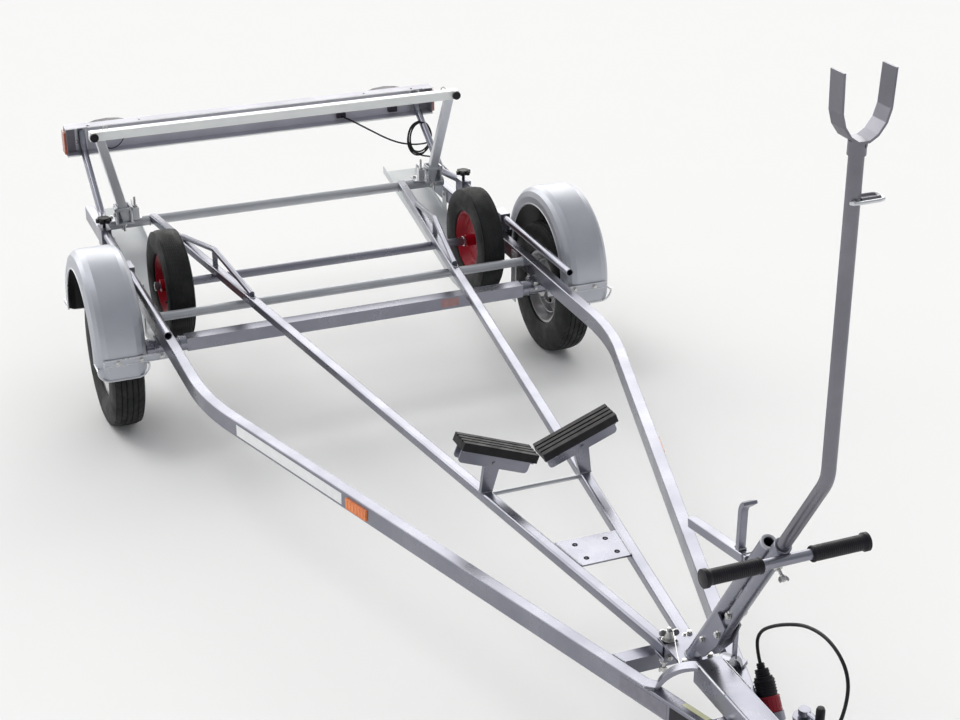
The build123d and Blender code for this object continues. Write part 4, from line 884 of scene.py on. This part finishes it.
for s in (-1, 1):
    bolt(bm, mm(s * 34, T_FRONT - 18, T_Z - 12), (0, -1, 0), 0.008)
ob = piece("trolley_clamp_bolts", bm, BRIGHT, "frame", smooth=False)
bevelled(ob, 0.0005, 1)
bm = bmesh.new()
tether = [mm(*p) for p in TETHER]
strand(bm, [a.lerp(b, k / 6) for a, b in zip(tether, tether[1:]) for k in range(6)] + tether[-1:], 0.0013, 8)
piece("clamp_tether", bm, BRIGHT, "frame")
bm = bmesh.new()
for s in (-1, 1):
    for y, w in ((-2939, 31), (-2972, 33.4)):
        bolt(bm, mm(s * w, y, 473), (s, 0, 0), 0.010, s < 0)
    lathe(bm, [(0, 0), (0.0075, 0), (0.0070, 0.0018), (0, 0.0024)], mm(s * 18.5, -3003, 522), (s, 0, 0), 20)
ob = piece("coupling_bolts", bm, BRIGHT, "frame", smooth=False)
bevelled(ob, 0.0005, 1)
bm = bmesh.new()
for s in (-1, 1):
    strand(bm, line(mm(s * 9, -2994, 526), mm(s * 9, -2898, 526), 0.01), 0.0018, 8)
strand(bm, line(mm(-12, -2886, 534), mm(12, -2886, 534), 0.004), 0.0030, 10)
piece("lever_ribs", bm, GALV, "coupling_lever")
bm = bmesh.new()
for t in (42, 49, 56, 63, 70):
    lathe(bm, [(0.0235, -0.0022), (0.0256, -0.0012), (0.0256, 0.0012), (0.0235, 0.0022)],
          mm(*(PLUG_AT + PLUG_DIR * t)), PLUG_DIR, 32)
for t in (4, 9, 14):
    lathe(bm, [(0.0088, -0.0015), (0.0102, -0.0008), (0.0102, 0.0008), (0.0088, 0.0015)], mm(*(PLUG_AT + PLUG_DIR * t)), PLUG_DIR, 24)
for t in (21, 28):
    lathe(bm, [(0.0162, -0.0015), (0.0178, -0.0008), (0.0178, 0.0008), (0.0162, 0.0015)], mm(*(PLUG_AT + PLUG_DIR * t)), PLUG_DIR, 28)
piece("plug_cap_ribs", bm, GRIP, "frame")
bm = bmesh.new()
for t in (80.5, 112):
    lathe(bm, [(0.0268, -0.002), (0.0284, -0.0012), (0.0284, 0.0012), (0.0268, 0.002)], mm(*(PLUG_AT + PLUG_DIR * t)), PLUG_DIR, 36)
across = PLUG_DIR.cross(Vector((1, 0, 0))).normalized()
for k in range(18):
    a = 2 * math.pi * k / 18
    spoke = Vector((1, 0, 0)) * math.cos(a) + across * math.sin(a)
    strand(bm, line(mm(*(PLUG_AT + PLUG_DIR * 84 + spoke * 26.9)), mm(*(PLUG_AT + PLUG_DIR * 108 + spoke * 26.9)), 0.01), 0.0011, 6)
piece("plug_body_ribs", bm, PLUGRED, "frame")
bm = bmesh.new()
lathe(bm, [(0.0110, 0.0), (0.0128, 0.001), (0.0128, 0.007), (0.0075, 0.010), (0.0044, 0.0105)], mm(36, -2900, 470), (1, 0, 0), 24)
piece("gland_nut", bm, GRIP, "frame")
# edge strands along the head's top in the lighter edge zinc: painted highlight
bm = bmesh.new()
for s in (-1, 1):
    strand(bm, line(mm(s * 34, -2554, HEAD_TOP - 0.8), mm(s * 34, -2688, HEAD_TOP - 0.8), 0.01), 0.0017, 8)
piece("head_edges", bm, SHEET_EDGE, "frame")


# Jockey wheel

bm = bmesh.new()
for z in (336, 497):
    lathe(bm, [(0.0238, -0.003), (0.0258, -0.002), (0.0258, 0.002), (0.0238, 0.003)], mm(J_X, J_Y, z), (0, 0, 1), 36)
for z in (431, 459):
    strand(bm, arc(mm(J_X, J_Y, z), (0, 0, 1), 0.0322, step=8), 0.0014, 6)
bolt(bm, mm(J_X - 30, J_Y - 12, 445), (0, -1, 0), 0.010)
bolt(bm, mm(J_X - 30, J_Y + 12, 445), (0, 1, 0), 0.010, True)
ob = piece("jockey_tube_rings", bm, GALV, "frame")
bm = bmesh.new()
for s in (-1, 1):
    bolt(bm, mm(J_X + s * 38, J_Y + 35, J_R), (s, 0, 0), 0.012, s < 0)
ob = piece("jockey_axle_nuts", bm, BRIGHT, "jockey_fork", smooth=False)
bevelled(ob, 0.0005, 1)
bm = bmesh.new()
for s in (-1, 1):
    lathe(bm, [(0.0085, 0.0), (0.056, 0.0), (0.056, 0.0015), (0.050, 0.0030), (0.026, 0.0030), (0.024, 0.0056), (0.0085, 0.0056)],
          mm(J_X + s * 20.6, J_Y + 35, J_R), (s, 0, 0), 40)
piece("jockey_wheel_hub", bm, SILVER, "jockey_wheel")
bm = bmesh.new()
lathe(bm, [(0.0, 0.0), (0.0085, 0.0), (0.0105, 0.004), (0.0105, 0.038), (0.008, 0.044), (0, 0.045)], mm(J_X, J_Y - 60, 519), (0, 0, 1), 24)
piece("crank_handle", bm, GRIP, "jockey_crank")


# Mast: the front strand of the halyard loop, and the pin hole under the fork as a dark disc of painted shade

bm = bmesh.new()
strand(bm, [mm(x, MAST_Y + y, LOOP_Z) for x, y in ((-6, -16), (-15, -20), (-12, -24), (0, -25), (24, -25), (46, -24), (55, -20),
                                                   (58, -12), (57, -4))], 0.0036, 10)
piece("mast_loop_front", bm, SHEET_EDGE, "mast")
bm = bmesh.new()
aim = Vector((0.62, -0.78, 0)).normalized()
lathe(bm, [(0.0062, -0.001), (0.0062, 0.0007), (0, 0.0007)], mm(0, MAST_Y, 1876) + aim * (MAST_R / 1000), aim, 20)
piece("mast_pin_hole_shade", bm, DARK, "mast")


# Frame bolts, end caps and weld beads

bm = bmesh.new()
for s in (-1, 1):
    for y in (BEAM_Y - 33, BEAM_Y + 33):
        bolt(bm, mm(s * (RAIL_X - 29), y, BEAM_TOP), (0, 0, 1), 0.010)
        bolt(bm, mm(s * (RAIL_X - 29), y, BEAM_TOP - 8), (0, 0, -1), 0.010, True)
    for y in (900, 400, 180):
        bolt(bm, mm(s * (RAIL_X - RAIL_W / 2 - 4), y, RAIL_TOP - 24), (-s, 0, 0), 0.008)
    for y in (-2706, -2759):
        bolt(bm, mm(s * (v_x(y) - 1), y, 443), (0, 0, 1), 0.009)
ob = piece("frame_bolts", bm, BRIGHT, "frame", smooth=False)
bevelled(ob, 0.0005, 1)

bm = bmesh.new()
for s in (-1, 1):
    slab(bm, mm(s * RAIL_X - 15, RAIL_REAR - 1, RAIL_TOP - 52), mm(s * RAIL_X + 15, RAIL_REAR + 1.6, RAIL_TOP - 4))
    end = Vector((s * v_x(RAIL_FRONT), RAIL_FRONT, 0))
    run = Vector((s * V_SLOPE, 1, 0)).normalized()
    wide = Vector((1, -s * V_SLOPE, 0)).normalized()
    cap = [end + wide * 15 + run * 1, end - wide * 15 + run * 1, end - wide * 15 - run * 1.6, end + wide * 15 - run * 1.6]
    prism(bm, [(q.x / 1000, q.y / 1000 + SHIFT) for q in cap], Matrix.Translation((0, 0, (RAIL_TOP - 52) / 1000)), 0.048)
    end = Vector((s * t_x(T_FRONT), T_FRONT, 0))
    run = Vector((s * T_SLOPE, 1, 0)).normalized()
    wide = Vector((1, -s * T_SLOPE, 0)).normalized()
    cap = [end + wide * 13 + run * 1, end - wide * 13 + run * 1, end - wide * 13 - run * 1.4, end + wide * 13 - run * 1.4]
    prism(bm, [(q.x / 1000, q.y / 1000 + SHIFT) for q in cap], Matrix.Translation((0, 0, (T_Z - 13) / 1000)), 0.026)
    lathe(bm, [(0, 0), (0.0165, 0), (0.0155, 0.0016), (0, 0.0018)], mm(s * TUBE_HALF, TUBE_Y, TUBE_Z), (s, 0, 0), 28)
lathe(bm, [(0, 0), (0.009, 0), (0.0085, 0.0014), (0, 0.0016)], mm(0, -2443, 812), (0, 1, 0.16), 20)
ob = piece("end_caps", bm, GRIP, "frame", smooth=False)
bevelled(ob, 0.0008, 1)
bm = bmesh.new()
for s in (-1, 1):
    lathe(bm, [(0.0113, 0.0), (0, 0.0)], mm(s * CAR_X, CAR_FRONT + 40, CAR_Z), (0, -1, 0), 28)
piece("carrier_bore_shadow", bm, DARK, "light_bar")
# dark rings round the four holes of the bolt plate: painted shade of the holes
bm = bmesh.new()
for x in (-44, 44):
    for y in (-1951.5 - 35.5, -1951.5 + 35.5):
        lathe(bm, [(0.0046, 0.0), (0.0046, 0.0008), (0.0074, 0.0008), (0.0076, 0.0)], mm(x, y, 466.3), (0, 0, 1), 20)
piece("bolt_plate_hole_shade", bm, DARK, "frame")

beads = []
for s in (-1, 1):
    beads.append(arc(mm(s * (BEAM_HALF + 23), BEAM_Y, BEAM_Z), (s, 0, 0), 0.0245))
    beads.append(arc(mm(s * (ARM_X0 - 1), BEAM_Y, BEAM_Z), (s, 0, 0), 0.0245))
    for y in (BEAM_Y - 45, BEAM_Y + 45):
        beads.append(line(mm(s * (RAIL_X - 17), y, BEAM_TOP - 0.5), mm(s * (RAIL_X + 17), y, BEAM_TOP - 0.5)))
    beads.append(arc(mm(s * (RAIL_X - RAIL_W / 2 - 1), MID_Y, MID_Z), (s, 0, 0), 0.0172))
    for y in (FT_Y + 20.5, FT_Y - 20.5):
        x = v_x(y) - FACE_HALF - 0.5
        beads.append(line(mm(s * x, y, 382), mm(s * x, y, 422)))
    beads.append(line(mm(s * (v_x(FT_Y + 19) - FACE_HALF - 0.5), FT_Y + 19, 422.6), mm(s * (v_x(FT_Y - 19) - FACE_HALF - 0.5), FT_Y - 19, 422.6)))
    x = s * t_x(TUBE_Y)
    for side_x in (x - 16.5, x + 16.5):
        beads.append([mm(side_x, TUBE_Y + 19.6 * math.cos(math.radians(a)), TUBE_Z + 19.6 * math.sin(math.radians(a)))
                      for a in range(120, 241, 5)])
    beads.append(line(mm(x - 15, TUBE_Y - 8, T_TOP - 4.5), mm(x + 15, TUBE_Y - 8, T_TOP - 4.5)))
    beads.append(line(mm(s * (t_x(-1890) - T_S / 2 + 1), -1890, T_TOP), mm(s * (t_x(-2014) - T_S / 2 + 1), -2014, T_TOP)))
    beads.append(arc(mm(s * (t_x(PAD_Y) - T_S / 2 - 0.5), PAD_Y, T_Z + 2), (s, 0, 0), 0.0066, step=20))
    x = s * t_x(PAD_Y)
    for y in (PAD_Y - 8.5, PAD_Y + 8.5):
        beads.append(line(mm(x - 17, y, T_TOP), mm(x + 17, y, T_TOP)))
    for y in (640, 10):
        x = s * t_x(y)
        beads.append([mm(x + 9 * math.cos(math.radians(a)), y + 22 * math.sin(math.radians(a)), T_TOP + 0.5) for a in range(0, 361, 12)])
    x = s * t_x(330)
    beads.append(line(mm(x - 9, 326.4, T_TOP), mm(x + 9, 326.4, T_TOP)))
    beads.append(line(mm(x - 9, 333.6, T_TOP), mm(x + 9, 333.6, T_TOP)))
    for t0, t1 in ((198, 250), (322, 366), (548, 588)):
        beads.append(line(mm(*on_col(t0, 18, s * 6.8)), mm(*on_col(t1, 18, s * 6.8))))
    for y in (-2775.6, -2689.4):
        x = v_x(y)
        beads.append(line(mm(s * (x - 17), y, RAIL_TOP + 0.5), mm(s * (x + 15), y, RAIL_TOP + 0.5)))
        beads.append(line(mm(s * 34, y, 443.6), mm(s * 6, y, 443.6)))
    for y in (365, 435, 765, 835):
        beads.append(line(mm(s * (CAR_X - 19), y, RAIL_TOP + 0.5), mm(s * (RAIL_X + 17), y, RAIL_TOP + 0.5)))
    for y in (400, 800):
        beads.append(line(mm(s * (CAR_X - 19.6), y - 35, RAIL_TOP + 0.5), mm(s * (CAR_X - 19.6), y + 35, RAIL_TOP + 0.5)))
    fx, fy = v_x(YOKE_Y), YOKE_Y
    ux, uy = (31 - fx) / math.hypot(31 - fx, -2565 - fy), (-2565 - fy) / math.hypot(31 - fx, -2565 - fy)
    p, q = [(fx - 17 * ux - uy * wide, fy - 17 * uy + ux * wide) for wide in (-14, 14)]
    beads.append(line(mm(s * p[0], p[1], RAIL_TOP + 1), mm(s * q[0], q[1], RAIL_TOP + 1)))
    for wide in (-15.5, 15.5):
        p, q = (fx - ux * 15 - uy * wide, fy - uy * 15 + ux * wide), (fx + ux * 8 - uy * wide, fy + uy * 8 + ux * wide)
        beads.append(line(mm(s * p[0], p[1], RAIL_TOP + 1), mm(s * q[0], q[1], RAIL_TOP + 1)))
    beads.append([mm(s * (31 + 3), y, HEAD_TOP - 3) for y in range(-2550, -2581, -4)])
beads.append([mm(19.2 * math.cos(math.radians(a)), COL_FOOT[0] + 22.4 * math.sin(math.radians(a)), T_TOP + 6.5) for a in range(0, 361, 8)])
beads.append(line(mm(-12.5, -2684, 862), mm(12.5, -2684, 862)))
for s in (-1, 1):
    beads.append(line(mm(s * 13, -2684, 836), mm(s * 13, -2684, 862)))
for y in (HORN_Y - 7.5, HORN_Y + 7.5):
    beads.append(line(mm(-10, y, HORN_Z), mm(10, y, HORN_Z)))
bm = bmesh.new()
for path in beads:
    strand(bm, path, 0.0023, 8, 0.22)
piece("weld_beads", bm, WELD, "frame")


# Floor, world, light and camera

FLOOR = 40
floor_mesh = bpy.data.meshes.new("floor")
floor_mesh.from_pydata([(-FLOOR, -FLOOR, 0), (FLOOR, -FLOOR, 0), (FLOOR, FLOOR, 0), (-FLOOR, FLOOR, 0)], [],
                       [(0, 1, 2, 3)])
floor = bpy.data.objects.new("floor", floor_mesh)
bpy.context.scene.collection.objects.link(floor)
floor.data.materials.append(material("floor_white", (0.87, 0.87, 0.87), (0.865, 0.865, 0.865), 0.0, (0.9, 0.95), 2,
                                     grain_bump=0.0, gloss=0.0))

# A soft pale room: bright and low behind the trailer, dimmer in front, the same from any point of the floor
world = bpy.data.worlds.new("world")
bpy.context.scene.world = world
world.use_nodes = True
wn = world.node_tree
bg = wn.nodes["Background"]
co = wn.nodes.new("ShaderNodeTexCoord")
sep = wn.nodes.new("ShaderNodeSeparateXYZ")
wn.links.new(co.outputs["Generated"], sep.inputs["Vector"])


def step_between(socket, start, end):
    r = wn.nodes.new("ShaderNodeMapRange")
    r.interpolation_type = "SMOOTHSTEP"
    r.inputs["From Min"].default_value = start
    r.inputs["From Max"].default_value = end
    wn.links.new(socket, r.inputs["Value"])
    return r.outputs["Result"]


def times(a, b):
    m = wn.nodes.new("ShaderNodeMath")
    m.operation = "MULTIPLY"
    wn.links.new(a, m.inputs[0])
    wn.links.new(b, m.inputs[1])
    return m.outputs["Value"]


z, y = sep.outputs["Z"], sep.outputs["Y"]
overhead = times(step_between(z, 0.45, 0.7), step_between(y, -0.5, -0.2))
panel = times(times(step_between(z, 0.05, 0.2), step_between(z, 0.78, 0.6)), step_between(y, 0.42, 0.62))
room = tint(wn, overhead, (0.40, 0.41, 0.43), (0.70, 0.70, 0.70))
room = tint(wn, step_between(z, 0.26, 0.10), (0, 0, 0), (0.93, 0.93, 0.93), room)
sky = tint(wn, panel, (0, 0, 0), (3.5, 3.46, 3.34), room)
wn.links.new(sky, bg.inputs["Color"])
bg.inputs["Strength"].default_value = 1.0

sun = bpy.data.lights.new("sun", "SUN")
sun.energy = 0.42
sun.angle = math.radians(22)
sun_ob = bpy.data.objects.new("sun", sun)
sun_ob.rotation_euler = Vector((0.42, -0.30, -1.0)).to_track_quat("-Z", "Y").to_euler()
bpy.context.scene.collection.objects.link(sun_ob)

CAM = mm(-1805.6, -5557.3, 2896.8)
YAW, PITCH, ROLL = 0.3889, 0.439, 0.0012
FOCAL_PX, WIDTH_PX, SENSOR = 1788.4, 960, 36
forward = Vector((math.sin(YAW) * math.cos(PITCH), math.cos(YAW) * math.cos(PITCH), -math.sin(PITCH)))
right = Vector((math.cos(YAW), -math.sin(YAW), 0))
up = right.cross(forward)
right, up = right * math.cos(ROLL) + up * math.sin(ROLL), up * math.cos(ROLL) - right * math.sin(ROLL)
lens = bpy.data.cameras.new("camera")
lens.sensor_width = SENSOR
lens.lens = FOCAL_PX / WIDTH_PX * SENSOR
lens.clip_start = 0.05
camera = bpy.data.objects.new("camera", lens)
camera.matrix_world = Matrix.Translation(CAM) @ Matrix((right, up, -forward)).transposed().to_4x4()
bpy.context.scene.collection.objects.link(camera)
bpy.context.scene.camera = camera
bpy.context.scene.view_settings.view_transform = "Standard"
